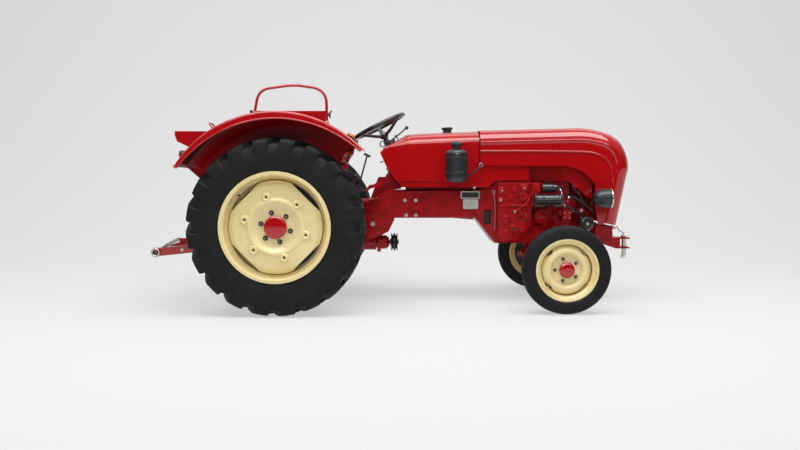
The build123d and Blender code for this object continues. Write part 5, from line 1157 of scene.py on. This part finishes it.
def makeEngineDetail():
    size = {
        "wall": -.242, "side": -.17,
        # bolts along the cover's edge: first, last, how many
        "flange": [((1.592, .902), (1.814, .902), 6), ((1.592, .5), (1.592, .862), 6),
                   ((1.814, .858), (1.814, .612), 5), ((1.606, .492), (1.722, .492), 4),
                   ((1.742, .508), (1.803, .59), 3)],
        "flangeBolt": (.0075, .009),
        # covers: x, z, the wall they stand on, radius of the bolt ring, bolts, radius of the dome
        "covers": [(1.909, .662, -.23, .044, 6, .026), (1.787, .678, -.252, .025, 4, .013),
                   (1.672, .812, -.25, .021, 4, .01), (2.032, .59, -.194, .02, 3, .009)],
        "coverBolt": (.0065, .007), "coverTurn": .3,
        # bright screws: x, z, size
        "screws": [(1.606, .855, .0088), (1.773, .874, .0088), (1.598, .784, .0072)], "screwY": -.254,
        "plugAt": (1.701, -.2562, .568), "plug": [(0, 0), (0, .013), (.001, .013), (.0004, .01), (.0004, 0)],
        # bolts along the block: height, first, last, how many
        "rows": [(.535, 1.86, 2.09, 6), (.905, 1.85, 2.1, 5)], "rowBolt": (.007, .008),
        # ribs of the casting: from, to, radius
        "ribs": [((1.59, .742), (1.806, .742), .008), ((1.66, .902), (1.66, .742), .006),
                 ((1.73, .742), (1.73, .52), .006), ((1.62, .7), (1.69, .52), .006),
                 ((1.806, .742), (1.806, .902), .008)],
        # lumps of the casting: x, z, radius, height
        "lumps": [(1.606, .855, .026, .016), (1.773, .874, .03, .02), (1.598, .784, .022, .014),
                  (1.701, .568, .027, .013), (1.64, .64, .03, .012), (1.77, .81, .034, .014),
                  (1.64, .545, .018, .01), (1.766, .56, .02, .014), (1.7, .86, .02, .016),
                  (1.745, .69, .018, .02)],
        "coolingRibs": 7, "firstRib": 1.846, "ribPitch": .024, "coolingRadius": .005,
        # distance off the side, and height
        "coolingRib": [(.001, .905), (.004, .88), (.004, .848), (.001, .825)],
        "bosses": [(1.872, .72), (1.95, .735), (1.985, .655), (1.96, .56), (1.88, .575), (2.075, .64),
                   (2.09, .72), (2.02, .69)],
        "boss": [(0, .022), (.003, .019), (.018, .016), (.02, .014), (.02, 0)], "bossBolt": .008,
        # end, radius, length and number of sides
        "drums": (((1.7, -.26, .7), .016, .02, 28), ((1.64, -.2425, .64), .024, .012, 32)),
        "drumBolt": (1.7, -.279, .7),
        "oilPipe": [(1.7, -.272, .7), (1.735, -.276, .722), (1.78, -.276, .76), (1.812, -.262, .8),
                    (1.826, -.25, .85)],
        "dipstick": [(1.56, -.214, .56), (1.56, -.222, .68), (1.556, -.226, .78), (1.548, -.228, .83)],
        "dipstickRing": ((1.547, -.228, .843), .011, .0025), "oilPipeRadius": .006, "dipstickRadius": .004,
        # the black hoses at the front: radius and path
        "hoses": [
            (.01, [(2.091, -.262, .801), (2.112, -.28, .806), (2.137, -.284, .801), (2.19, -.284, .772),
                    (2.23, -.276, .742), (2.262, -.262, .712), (2.282, -.24, .69)]),
            (.008, [(2.06, -.262, .742), (2.11, -.284, .724), (2.16, -.28, .7), (2.2, -.262, .668)]),
            (.007, [(2.15, -.2, .86), (2.18, -.236, .83), (2.205, -.25, .78), (2.215, -.244, .7),
                    (2.225, -.226, .668)]),
        ],
        "elbow": ((2.178, -.196, .69), (2.225, -.25, .724)), "elbowBolt": (2.201, -.25, .707),
        "baffle": [(2.124, .7), (2.262, .7), (2.29, .76), (2.29, .94), (2.17, .94), (2.124, .9)],
        "baffleY": -.06, "baffleSheet": .004, "baffleCorner": .012,
        "baffleBolts": [(2.145, .72), (2.265, .775), (2.27, .92), (2.16, .915)], "baffleBolt": (.007, .006),
        "clamps": [(2.103, -.272, .803), (2.072, -.272, .744)], "clampWay": (1, -.5, .1),
        "clamp": [(-.006, .0115), (-.006, .0128), (.006, .0128), (.006, .0115)],
    }
    wall, side = size["wall"], size["side"] - .0005
    places = [(x, wall, z) for start, end, count in size["flange"] for x, z in evenly([start, end], count)]
    parts = painted(redCasting, *bolts(places, rightward, *size["flangeBolt"]))
    for x, z, face, ring, count, knob in size["covers"]:
        centre = np.array((x, face, z))
        places = circlePath(centre, rightward, ring, count, size["coverTurn"])
        parts += painted(redCasting, *bolts(places, rightward, *size["coverBolt"]))
        parts += painted(redCasting, dome(centre, rightward, knob, knob * .5))
    for x, z, radius in size["screws"]:
        parts += painted(zinc, *bolt((x, size["screwY"], z), rightward, radius, .01))
    parts += painted(blackSatin, turned(size["plug"], size["plugAt"], rightward, 32))
    for z, first, last, count in size["rows"]:
        places = [(x, side, z) for x in np.linspace(first, last, count)]
        parts += painted(redCasting, *bolts(places, rightward, *size["rowBolt"]))
    for start, end, thick in size["ribs"]:
        parts += painted(redCasting, pipe(inSpace(np.array([start, end]), wall), thick, 10))
    for x, z, radius, height in size["lumps"]:
        line = [(0, radius * 1.25), (.002, radius * 1.1), (height * .7, radius), (height, radius * .9),
                (height, 0)]
        parts += painted(redCasting, turned(smoothPath(line, 2), (x, wall + .001, z), rightward, 32))
    for k in range(size["coolingRibs"]):
        x = size["firstRib"] + k * size["ribPitch"]
        path = [(x, size["side"] - off, z) for off, z in size["coolingRib"]]
        parts += painted(redCasting, pipe(path, size["coolingRadius"], 8))
    for x, z in size["bosses"]:
        parts += painted(redCasting, turned(size["boss"], (x, side, z), rightward, 28))
        parts += painted(redCasting,
                         *bolt((x, side - .0195, z), rightward, size["bossBolt"], size["bossBolt"]))
    for end, radius, length, count in size["drums"]:
        parts += painted(redCasting, cylinder(end, rightward, radius, length, .003, count))
    parts += painted(plating, *bolt(size["drumBolt"], rightward, .008, .008))
    parts += painted(redCasting, hose(size["oilPipe"], size["oilPipeRadius"]))
    at, radius, wire = size["dipstickRing"]
    parts += painted(bareSteel, hose(size["dipstick"], size["dipstickRadius"], 10, 6),
                     pipe(circlePath(at, rightward, radius, 20), wire, 8, closed=True))
    for radius, path in size["hoses"]:
        parts += painted(hoseRubber, hose(path, radius, 14))
    parts += painted(redCasting, block(*size["elbow"], .006))
    # the baffle sheet behind the cut-out is in the darker copy of the red paint: painted shade
    y, sheet = size["baffleY"], size["baffleSheet"]
    parts += painted(redPaintedShade, sidePrism(rounded(size["baffle"], size["baffleCorner"], 4), y, -sheet))
    places = [(x, y - sheet, z) for x, z in size["baffleBolts"]]
    parts += painted(redCasting, *bolts(places, rightward, *size["baffleBolt"]))
    parts += painted(zinc, *bolt(size["elbowBolt"], rightward, .008, .008))
    for place in size["clamps"]:
        parts += painted(zinc, turned(size["clamp"], place, size["clampWay"], 24))
    makePiece("engineDetail", parts, "chassis", smooth=40)
    print("engine details made")


def makeDriveDetail():
    size = {
        # bolts on both sides of the drive tunnel's flanges: x, y, heights, way they point, head
        "flanges": [(.786, .158, (.69, .755, .82), backward, (.009, .012)),
                    (1.4, .164, (.672, .75, .828), backward, (.008, .012))],
        "tunnelBolts": [(.885, .779), (.966, .779), (.894, .666), (.967, .666)], "tunnelY": -.1602,
        "tunnelBolt": .01,
        # blank plates: two corners and the finish of the inner field
        "plates": [((1.305, .792), (1.449, .848), blackSatin), ((1.324, .714), (1.437, .788), plateSilver)],
        "plateY": -.16, "plateDepth": .0128,
        # how far in from the plate's edge, y, then the depth of the field or the radius and height of a rivet
        "plateField": (.008, -.172, .0016), "rivet": (.0064, -.1735, .0028, .0014),
        "opening": ((1.4785, .5955), (1.5315, .7035)), "openingCorner": .014, "openingY": -.1215,
        "openingDepth": .03,
        # side cover of the gearbox, level plug and the ring of bolts on the axle's trumpet
        "cover": ((.25, .585), (.47, .66)), "coverCorner": .02, "coverY": .165, "coverDepth": .008,
        "coverBolts": [(x, z) for x in (.268, .36, .452) for z in (.6, .645)], "coverBolt": (.007, .008),
        "plug": (.64, .165, .6), "plugSize": (.013, .012),
        "trumpet": (0, .191, .6125), "trumpetRing": .105, "trumpetBolts": 10, "trumpetBolt": (.008, .01),
        "topBolts": [(.44, .15, .785), (.18, .15, .785)], "topBolt": .008,
        # levers: foot, tip and radius of the boot
        "levers": [((.504, -.06, .793), (.598, -.1, 1.121), .034), ((.47, .07, .793), (.5, .09, .96), .028)],
        # a boot's line: distance along the lever, and share of its radius
        "boot": [(-.004, 0), (-.004, 1), (.006, 1), (.012, .8), (.017, .84), (.023, .62), (.028, .66),
                 (.036, .4)],
        "leverRadius": .0065, "bootTop": .046, "bootNeck": .01,
        "grip": (.024, 0, -.012), "gripRadii": (.0085, .0105, .0095, .0105, .0085), "knob": .0145,
    }
    parts = []
    for x, y, heights, axis, head in size["flanges"]:
        places = [(x, way * y, z) for name, way in sides for z in heights]
        parts += painted(redCasting, *bolts(places, axis, *head))
    places = [(x, size["tunnelY"], z) for x, z in size["tunnelBolts"]]
    parts += painted(zinc, *bolts(places, rightward, size["tunnelBolt"], size["tunnelBolt"]))
    inset, fieldY, fieldDepth = size["plateField"]
    rivetInset, rivetY, *rivet = size["rivet"]
    for low, high, field in size["plates"]:
        plate, inner = rounded(rectangle(low, high), .006, 4), rounded(rectangle(low, high, inset), .004, 4)
        parts += painted(plateSilver, sidePrism(plate, size["plateY"], -size["plateDepth"]))
        parts += painted(field, sidePrism(inner, fieldY, -fieldDepth))
        for x, z in rectangle(low, high, rivetInset):
            parts += painted(plating, dome((x, rivetY, z), rightward, *rivet))
    # the clutch housing's opening is a black plate set into it: painted shade for its dark inside
    opening = rounded(rectangle(*size["opening"]), size["openingCorner"], 4)
    parts += painted(blackSatin, sidePrism(opening, size["openingY"], -size["openingDepth"]))
    cover = rounded(rectangle(*size["cover"]), size["coverCorner"], 5)
    for name, way in sides:
        flip, out = np.array((1, way, 1)), (0, way, 0)
        y, thick = size["coverY"], size["coverDepth"]
        parts += painted(redCasting, sidePrism(cover, way * y, way * thick))
        places = [(x, way * (y + thick), z) for x, z in size["coverBolts"]]
        parts += painted(redCasting, *bolts(places, out, *size["coverBolt"]))
        parts += painted(zinc, *bolt(size["plug"] * flip, out, *size["plugSize"]))
        ring = circlePath(size["trumpet"] * flip, leftward, size["trumpetRing"], size["trumpetBolts"])
        parts += painted(redCasting, *bolts(ring, out, *size["trumpetBolt"]))
        parts += painted(redCasting,
                         *bolts(size["topBolts"] * flip, upward, size["topBolt"], size["topBolt"]))
    for start, end, boot in size["levers"]:
        start, end = np.array(start), np.array(end)
        way = (end - start) / np.linalg.norm(end - start)
        line = [(along, share * boot) for along, share in size["boot"]]
        line += [(size["bootTop"], size["bootNeck"]), (size["bootTop"], 0)]
        parts += painted(hoseRubber, turned(line, start, way, 36))
        parts += painted(darkSteel,
                         pipe([start + .02 * way, (start + end) / 2, end], size["leverRadius"], 14))
    grip, (tip, knobAt) = np.array(size["grip"]), (end for start, end, boot in size["levers"])
    path = [np.array(tip) + share * grip for share in (-1, -.6, 0, .6, 1)]
    parts += painted(blackGloss, pipe(path, size["gripRadii"], 18), ball(knobAt, size["knob"]))
    makePiece("levers", parts, "chassis", ["controls"], smooth=40)
    print("drive details made")


def makePulley():
    # two belt grooves between three rims
    size = {
        "at": (.768, 0, .45),
        "line": [(0, .0143), (0, .026), (.01, .026), (.01, .07), (.015, .07), (.0215, .052), (.0245, .052),
                 (.031, .07), (.039, .07), (.0455, .052), (.0485, .052), (.055, .07), (.06, .07), (.06, .022),
                 (.066, .022), (.066, .0143)],
        "soft": (.0005, .002, .001, .0015, .0015, .001, .001, .0015, .0015, .001, .001, .0015, .002, .001,
                 .002, .0005),
    }
    ring = lathed(size["line"], size["soft"], size["at"], forward, 96, 3, closed=True)
    makePiece("pulleyRing", painted(blackGloss, ring), "belt_pulley", ["belt_pulley"],
              smooth=30)
    print("belt pulley made")


def makeCap():
    # a fluted cap: the radius swings with the angle, on a neck that is tilted with the cowl's crown
    size = {
        "x": 1.212, "z": 1.2978, "lean": .0321, "flutes": 26, "fluteDepth": .0014, "fluteFrom": .034,
        "fluteOver": .006,
        "lid": [(.02, 0), (.02, .036), (.0215, .0395), (.034, .0405), (.0378, .038), (.0392, .03),
                (.0396, 0)],
                "neck": [(.0005, 0), (.0005, .034), (.005, .034), (.006, .031), (.021, .031), (.021, 0)],
        "neckSoft": (0, .001, .001, .001, .001, 0),
    }
    up = np.array((-size["lean"], 0, 1))
    at = np.array((size["x"], 0, size["z"]))
    line = smoothPath(size["lid"], 3)
    angle = np.linspace(0, 2 * np.pi, size["flutes"] * 8, endpoint=False)
    grown = np.clip((line[:, 1:] - size["fluteFrom"]) / size["fluteOver"], 0, 1)
    radius = line[:, 1:] + grown * size["fluteDepth"] * np.cos(size["flutes"] * angle)
    axis, first, second = crossFrame(up)
    ring = np.cos(angle)[:, None] * first + np.sin(angle)[:, None] * second
    points = at + line[:, :1, None] * axis + radius[..., None] * ring
    lid = points.reshape(-1, 3), [gridFaces(len(line), len(angle), False, True)]
    neck = lathed(size["neck"], size["neckSoft"], at, up, 64, 3)
    makePiece("fillerLid", painted(blackSatin, lid, neck), "chassis", ["filler_cap"],
              smooth=50)
    print("filler cap made")


def makeRail():
    size = {
        "y": -.752, "tube": .0095, "bend": (0, .115, .4, .115, 0), "seat": .0003, "feet": (99.9, 64.9),
        "corners": [(-.1334, 1.3912), (-.104, 1.543), (.132, 1.575), (.35, 1.545), (.3536, 1.3257)],
        "foot": [(0, 0), (0, .02), (.004, .019), (.01, .012), (.014, .0095), (.014, 0)],
        "footBolt": (-.034, .006, .005),
    }
    y = size["y"]
    line = evenly(rounded(size["corners"], size["bend"], 12, closed=False), 120)
    parts = painted(redPaint, pipe(inSpace(line, y), size["tube"], 20, up=leftward))
    across, *head = size["footBolt"]
    for angle in size["feet"]:
        foot, out = inSpace(onGuard(angle, -size["seat"]), y), ray(angle)
        parts += painted(redPaint, turned(size["foot"], foot, out, 40))
        parts += painted(zinc, *bolt(foot + (0, across, 0), out, *head))
    makePiece("seatRail", parts, "chassis", ["seat_rail"])
    print("seat rail made")


def makeGuardFittings():
    # wing nut and rubber stop beside the rail, the strap at the wall's front, the grab loop behind the seat
    size = {
        "nutAt": (.362, -.752, 1.377), "nut": (.01, .018), "wingRadii": (.004, .007, .007, .004),
        "wing": [(.374, -.752, 1.352), (.372, -.752, 1.368), (.372, -.752, 1.386), (.388, -.752, 1.402)],
        "stop": ((-.166, -.764, 1.388), (-.149, -.74, 1.404)), "stopCorner": .005,
        "strap": [(.515, 1.15), (.506, 1.118), (.48, 1.082), (.466, 1.042), (.44, 1.058)],
        "strapY": -.487, "strapRadius": .009, "strapSquash": .35,
        "strapBolts": [(.5, -.49, 1.108), (.47, -.49, 1.056)], "strapBolt": .006,
        "loopFoot": (-.428, -.5, 1.262), "loopLean": (-.6, 0, .8), "loopRadius": .006,
        "loop": [(0, 0), (0, .085), (.12, .085), (.12, 0)], "loopBend": (0, .035, .035, 0),
    }
    parts = painted(blackGloss, cylinder(size["nutAt"], forward, *size["nut"], .002, 24),
                    pipe(size["wing"], size["wingRadii"], 12))
    parts += painted(hoseRubber, block(*size["stop"], size["stopCorner"]))
    strap = inSpace(smoothPath(size["strap"], 8), size["strapY"])
    parts += painted(redPaint, pipe(strap, size["strapRadius"], 12, squash=size["strapSquash"], up=leftward))
    parts += painted(zinc, *bolts(size["strapBolts"], rightward, size["strapBolt"], size["strapBolt"]))
    loop = rounded(size["loop"], size["loopBend"], 8, closed=False)
    path = size["loopFoot"] + loop[:, :1] * rightward + loop[:, 1:] * size["loopLean"]
    parts += painted(redPaint, pipe(path, size["loopRadius"], 14))
    makePiece("guardFittings", parts, "chassis")
    print("mudguard fittings made")


def makeCoupling():
    size = {
        "x": 2.588,
        "pin": [(.33, 0), (.33, .0095), (.336, .0122), (.4902, .0122), (.4905, .019), (.502, .019),
                (.504, .017), (.504, 0)],
        "pinSoft": (0, .001, .002, 0, .001, .002, .001, 0),
        "handle": [(2.588, .5), (2.587, .518), (2.574, .53), (2.556, .539), (2.544, .556), (2.536, .574)],
        "handleRadius": .0045, "ring": (.3405, .019, .0022),
        "splint": [(2.588, -.018, .3455), (2.588, 0, .3455), (2.588, .02, .3455)], "splintRadius": .003,
        "links": 9, "chainAt": (2.6065, 0, .476), "pitch": .0145, "link": (.006, .006, .0095),
        "linkRadius": .0016,
        # bolts of the bracket on both sides: finish, place, way they point, head
        "bolts": [
            (redCasting, (2.352, .15, .586), (0, 0, 1), (.009, .01)),
            (redCasting, (2.404, .15, .586), (0, 0, 1), (.009, .01)),
            (redCasting, (2.4505, .11, .52), (1, 0, .08), (.008, .009)),
            (redCasting, (2.4505, .16, .52), (1, 0, .08), (.008, .009)),
            (zinc, (2.464, .1905, .572), (0, 1, 0), (.009, .009)),
        ],
        "kingpin": (2.004, -.53, .477), "kingpinBolt": (.013, .01),
        "axlePin": (2.12, 0, .425), "axleBolt": (.018, .014),
    }
    x = size["x"]
    parts = painted(zinc, lathed(size["pin"], size["pinSoft"], (x, 0, 0), upward, 48, 3))
    parts += painted(zinc, hose(inSpace(np.array(size["handle"]), 0), size["handleRadius"], 12, 7))
    z, radius, wire = size["ring"]
    parts += painted(zinc, pipe(circlePath((x, 0, z), leftward, radius, 40), wire, 8, closed=True))
    parts += painted(zinc, pipe(size["splint"], size["splintRadius"], 10))
    # each link of the chain is turned a quarter against the next
    for k in range(size["links"]):
        axis = (forward, leftward)[k % 2]
        link = circlePath((0, 0, 0), axis, 1, 20) * size["link"] + size["chainAt"] - (0, 0, k * size["pitch"])
        parts += painted(zinc, pipe(link, size["linkRadius"], 6, closed=True))
    makePiece("pinAndChain", parts, "chassis", ["coupling_pin"])
    parts = []
    for name, way in sides:
        for material, place, axis, head in size["bolts"]:
            flip = np.array((1, way, 1))
            parts += painted(material, *bolt(place * flip, axis * flip, *head))
    parts += painted(redPaint, *bolt(size["kingpin"], upward, *size["kingpinBolt"]))
    parts += painted(redCasting, *bolt(size["axlePin"], forward, *size["axleBolt"]))
    makePiece("bracketDetail", parts, "chassis")
    print("coupling made")


def makeLinkage():
    size = {
        "ballAt": (-.94, .38, .404),
        "ring": [(-.001, .021), (-.001, .031), (.003, .031), (.0045, .029), (.0045, .023), (.003, .021)],
        "ball": [(.0005, .0215), (.004, .019), (.006, .0135), (.006, .012), (-.001, .0115), (-.001, 0)],
        "rodPin": ((-.748, .369, .4235), .01, .012), "linkPin": ((-.05, .38, .497), .016, .012),
        # end of the stabiliser and its notched bar on top of the link
        "stabiliser": ((-.767, .33, .462), (-.693, .372, .508)), "stabiliserCorner": .006,
        "notched": [(-.905, .436), (-.893, .428), (-.775, .49), (-.775, .512), (-.786, .512), (-.8, .5),
                    (-.812, .5), (-.826, .486), (-.84, .486), (-.854, .47), (-.868, .47), (-.885, .456)],
        "notchedY": .346, "notchedDepth": .01, "notchCorner": .002,
    }
    parts = []
    for name, way in sides:
        flip, out = np.array((1, way, 1)), (0, way, 0)
        at = size["ballAt"] * flip
        parts += painted(plating, turned(size["ring"], at, out, 56, closed=True))
        parts += painted(darkSteel, turned(smoothPath(size["ball"], 3), at, out, 48))
        for place, *head in (size["rodPin"], size["linkPin"]):
            parts += painted(zinc, *bolt(place * flip, out, *head))
        low, high = size["stabiliser"]
        parts += painted(redCasting, block(low * flip, high * flip, size["stabiliserCorner"]))
        notched = rounded(size["notched"], size["notchCorner"], 3)
        parts += painted(bareSteel, sidePrism(notched, way * size["notchedY"], -way * size["notchedDepth"]))
    makePiece("linkDetail", parts, "lower_links", bevel=.001)
    print("linkage made")


def makeHoodStraps():
    # the straps that hold the hood down at its rear corners
    size = {
        "strap": [(1.447, .262, 1.062), (1.452, .284, 1.056), (1.44, .29, 1.03), (1.405, .288, .998),
                  (1.372, .282, .972), (1.35, .266, .954)],
        "strapRadius": .0065, "ring": (1.446, .286, 1.044), "ringRadius": .013, "ringWire": .003,
        "foot": ((1.333, .2515, .94), (1.367, .272, .966)), "footCorner": .006,
    }
    parts = []
    for name, way in sides:
        flip = np.array((1, way, 1))
        parts += painted(blackSatin, hose(size["strap"] * flip, size["strapRadius"]))
        ring = circlePath(size["ring"] * flip, leftward, size["ringRadius"], 28)
        parts += painted(zinc, pipe(ring, size["ringWire"], 8, closed=True))
        low, high = size["foot"]
        parts += painted(redPaint, block(low * flip, high * flip, size["footCorner"]))
    makePiece("hoodStraps", parts, "chassis")
    print("hood straps made")


def makeDash():
    size = {
        "slope": ((.73, 1.187), (.822, 1.238)), "gauges": (-.11, .11), "dial": .04, "rim": .008,
        "rimWall": .005, "face": .003, "faceInset": .0075, "needleAt": .0058, "needle": .024,
        "needleWay": (.8, .6), "needleRadius": .0009, "pivot": (.004, .003), "ring": (.715, -.06, 1.206),
        "ringRadius": .021, "wire": .0042, "ringStem": [(.01, 0, -.019), (.034, 0, -.024)],
        # tip and length of the stem
        "knobs": (((.798, -.16, 1.24), .019), ((.818, -.16, 1.262), .03)), "knob": .0105, "stem": .0038,
        "key": (.702, -.06, 1.069), "keyStem": (.028, 0, .012), "keyKnob": .0065, "keyRadius": .0036,
    }
    low, high = np.array(size["slope"])
    along = (high - low) / np.linalg.norm(high - low)
    up, out = inSpace(along, 0), np.array((-along[1], 0, along[0]))
    dial, rim = size["dial"], size["rim"]
    step = rim / 2
    line = [(-.006, 0), (-.006, dial), (rim, dial), (rim, dial - size["rimWall"]), (step, dial - .007),
            (step, 0)]
    parts = []
    for y in size["gauges"]:
        at = inSpace((low + high) / 2, y)
        parts += painted(blackGloss, lathed(line, (0, 0, .003, .0015, 0, 0), at, out, 64, 4))
        parts += painted(dialFace,
                         cylinder(at + size["face"] * out, out, dial - size["faceInset"], .002, .0004, 48))
        foot, (upShare, leftShare) = at + size["needleAt"] * out, size["needleWay"]
        tip = foot + size["needle"] * (upShare * up + (0, leftShare, 0))
        parts += painted(blackGloss, pipe([foot, tip], size["needleRadius"], 8),
                         cylinder(at + step * out, out, *size["pivot"], .0005, 20))
    ring = np.array(size["ring"])
    handle = circlePath(ring, leftward, size["ringRadius"], 40)
    parts += painted(blackGloss, pipe(handle, size["wire"], 12, closed=True),
                     pipe(ring + size["ringStem"], size["stem"], 10))
    for tip, reach in size["knobs"]:
        parts += painted(blackGloss, ball(tip, size["knob"]),
                         pipe([tip, tip - reach * out], size["stem"], 10))
    key = np.array(size["key"])
    parts += painted(blackGloss, ball(key, size["keyKnob"]),
                     pipe([key, key + size["keyStem"]], size["keyRadius"], 10))
    makePiece("dashControls", parts, "chassis")
    print("dash made")


def makeGuardStay():
    # the stay at the front of the right mudguard's inner wall, in a lighter red that is painted light
    size = {
        "outline": [(.464, 1.131), (.512, 1.134), (.464, 1.036), (.423, 1.06)], "corner": .008,
        "y": -.4715, "sheet": .006, "wire": .0035, "bolts": [(.462, 1.104), (.448, 1.066)],
        "bolt": (.006, .004),
    }
    edge, face = rounded(size["outline"], size["corner"], 4), size["y"] - size["sheet"]
    wire = evenly(inSpace(np.concatenate([edge, edge[:1]]), face), 60)[:-1]
    parts = painted(redPaintedLight, sidePrism(edge, size["y"], -size["sheet"]),
                    pipe(wire, size["wire"], 8, closed=True))
    parts += painted(zinc, *bolts(inSpace(np.array(size["bolts"]), face), rightward, *size["bolt"]))
    makePiece("guardStay", parts, "chassis")
    print("mudguard stay made")


makeRearTyres()
makeWheels()
makeFrontTyres()
makeBonnet()
makeCowl()
makeMudguards()
makeSteering()
makeAirCleaner()
makeHeadLamps()
makeGuardLamps()
makeStarter()
makeFilterAndPump()
makeEngineDetail()
makeDriveDetail()
makePulley()
makeCap()
makeRail()
makeGuardFittings()
makeCoupling()
makeLinkage()
makeHoodStraps()
makeDash()
makeGuardStay()


# Finishes of the construction's own pieces

def dressNodes():
    finishes = {
        redPaint: "grille footplates rear_tray fender_seat cooling_duct lift_arms lift_rods tie_rod "
                  "drag_link drop_arm seat_spring lower_links",
        redCasting: "transaxle drive_tunnel clutch_housing crankcase lift_housing front_bracket front_axle "
                    "knuckle_left knuckle_right",
        rustySteel: "exhaust",
        blackSatin: "driver_seat",
        castAlloy: "cylinders",
    }
    for material, names in finishes.items():
        for name in names.split():
            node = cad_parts[name]
            node.data.materials.clear()
            node.data.materials.append(material)
            weld = node.modifiers.new("weld", "WELD")
            weld.merge_threshold = 1e-5
            softEdges(node, .002)
    print("nodes dressed")


dressNodes()


# Studio

def makeStudio():
    size = {
        "front": -14.0, "back": 7.0, "half": 22.0, "cove": 5.0, "height": 14.0,
        "floorTone": .8, "floorRough": .6, "floorSpecular": .1, "seen": .79, "seenBlue": .995,
        "seenShare": .6,
        # height of the direction and tone of the sky
        "sky": [(0.0, .04), (1.0, .45), (.2, .08), (.55, .4)],
    }
    turn = np.linspace(0, np.pi / 2, 24)
    back, cove = size["back"], size["cove"]
    cove = np.stack([back - cove + cove * np.sin(turn), cove * (1 - np.cos(turn))], -1)
    line = np.concatenate([[(size["front"], 0)], cove, [(back, size["height"])]])
    across = np.linspace(-size["half"], size["half"], 3)
    points = np.stack([
        np.broadcast_to(across, (len(line), 3)), np.broadcast_to(line[:, :1], (len(line), 3)),
        np.broadcast_to(line[:, 1:], (len(line), 3)),
    ], -1)
    mesh = bpy.data.meshes.new("studioFloor")
    mesh.from_pydata(points.reshape(-1, 3).tolist(), [], gridFaces(len(line), 3).tolist())
    mesh.shade_smooth()
    floor = bpy.data.objects.new("studioFloor", mesh)
    bpy.context.scene.collection.objects.link(floor)
    # what is seen of the floor, straight or in a reflection, is mixed with an even pale tone
    material = bpy.data.materials.new("studioPale")
    material.use_nodes = True
    tree = material.node_tree
    shader = tree.nodes["Principled BSDF"]
    shader.inputs["Roughness"].default_value = size["floorRough"]
    shader.inputs["Base Color"].default_value = (size["floorTone"],) * 3 + (1,)
    shader.inputs["Specular IOR Level"].default_value = size["floorSpecular"]
    pale = tree.nodes.new("ShaderNodeEmission")
    pale.inputs["Color"].default_value = (size["seen"], size["seen"], size["seen"] * size["seenBlue"], 1)
    rays = tree.nodes.new("ShaderNodeLightPath")
    share = rays.outputs["Is Camera Ray"]
    for other in ("Is Glossy Ray", "Is Transmission Ray"):
        joined = tree.nodes.new("ShaderNodeMath")
        joined.operation = "MAXIMUM"
        tree.links.new(share, joined.inputs[0])
        tree.links.new(rays.outputs[other], joined.inputs[1])
        share = joined.outputs[0]
    scaled = tree.nodes.new("ShaderNodeMath")
    scaled.operation = "MULTIPLY"
    scaled.inputs[1].default_value = size["seenShare"]
    tree.links.new(share, scaled.inputs[0])
    mix = tree.nodes.new("ShaderNodeMixShader")
    tree.links.new(scaled.outputs[0], mix.inputs["Fac"])
    tree.links.new(shader.outputs[0], mix.inputs[1])
    tree.links.new(pale.outputs[0], mix.inputs[2])
    tree.links.new(mix.outputs[0], tree.nodes["Material Output"].inputs["Surface"])
    mesh.materials.append(material)

    world = bpy.data.worlds.new("studioSky")
    bpy.context.scene.world = world
    world.use_nodes = True
    tree = world.node_tree
    background = tree.nodes["Background"]
    way = tree.nodes.new("ShaderNodeTexCoord")
    parts = tree.nodes.new("ShaderNodeSeparateXYZ")
    tree.links.new(way.outputs["Generated"], parts.inputs["Vector"])
    tone = ramp(tree, parts.outputs["Z"], [(at, (value,) * 3) for at, value in size["sky"]])
    tree.links.new(tone, background.inputs["Color"])

    lamps = [
        # name, place, aimed at, width, depth, watts
        ("overhead", (0.2, -1.9, 5.0), (0, 0, .8), 7.5, 3.0, 350),
        ("frontStrip", (0.4, -6.6, 3.4), (0, 0, .9), 8.0, 0.5, 74),
        ("backStrip", (0, 3.4, 6.4), (0, 4.4, 0), 16.0, 3.2, 170),
    ]
    for name, place, aim, width, depth, power in lamps:
        light = bpy.data.lights.new(name, "AREA")
        light.shape, light.size, light.size_y, light.energy = "RECTANGLE", width, depth, power
        lamp = bpy.data.objects.new(name, light)
        lamp.location = place
        lamp.rotation_euler = (Vector(aim) - Vector(place)).to_track_quat("-Z", "Y").to_euler()
        bpy.context.scene.collection.objects.link(lamp)

    view = {"place": (rearAxleX + .847, -5.978, .955), "pitch": 3.57, "lens": 34.6}
    data = bpy.data.cameras.new("camera")
    data.lens, data.sensor_width = view["lens"], 36
    camera = bpy.data.objects.new("camera", data)
    camera.location = view["place"]
    camera.rotation_euler = (np.radians(90 - view["pitch"]), 0, 0)
    bpy.context.scene.collection.objects.link(camera)
    bpy.context.scene.camera = camera
    bpy.context.scene.view_settings.view_transform = "Standard"
    print("studio made")


makeStudio()
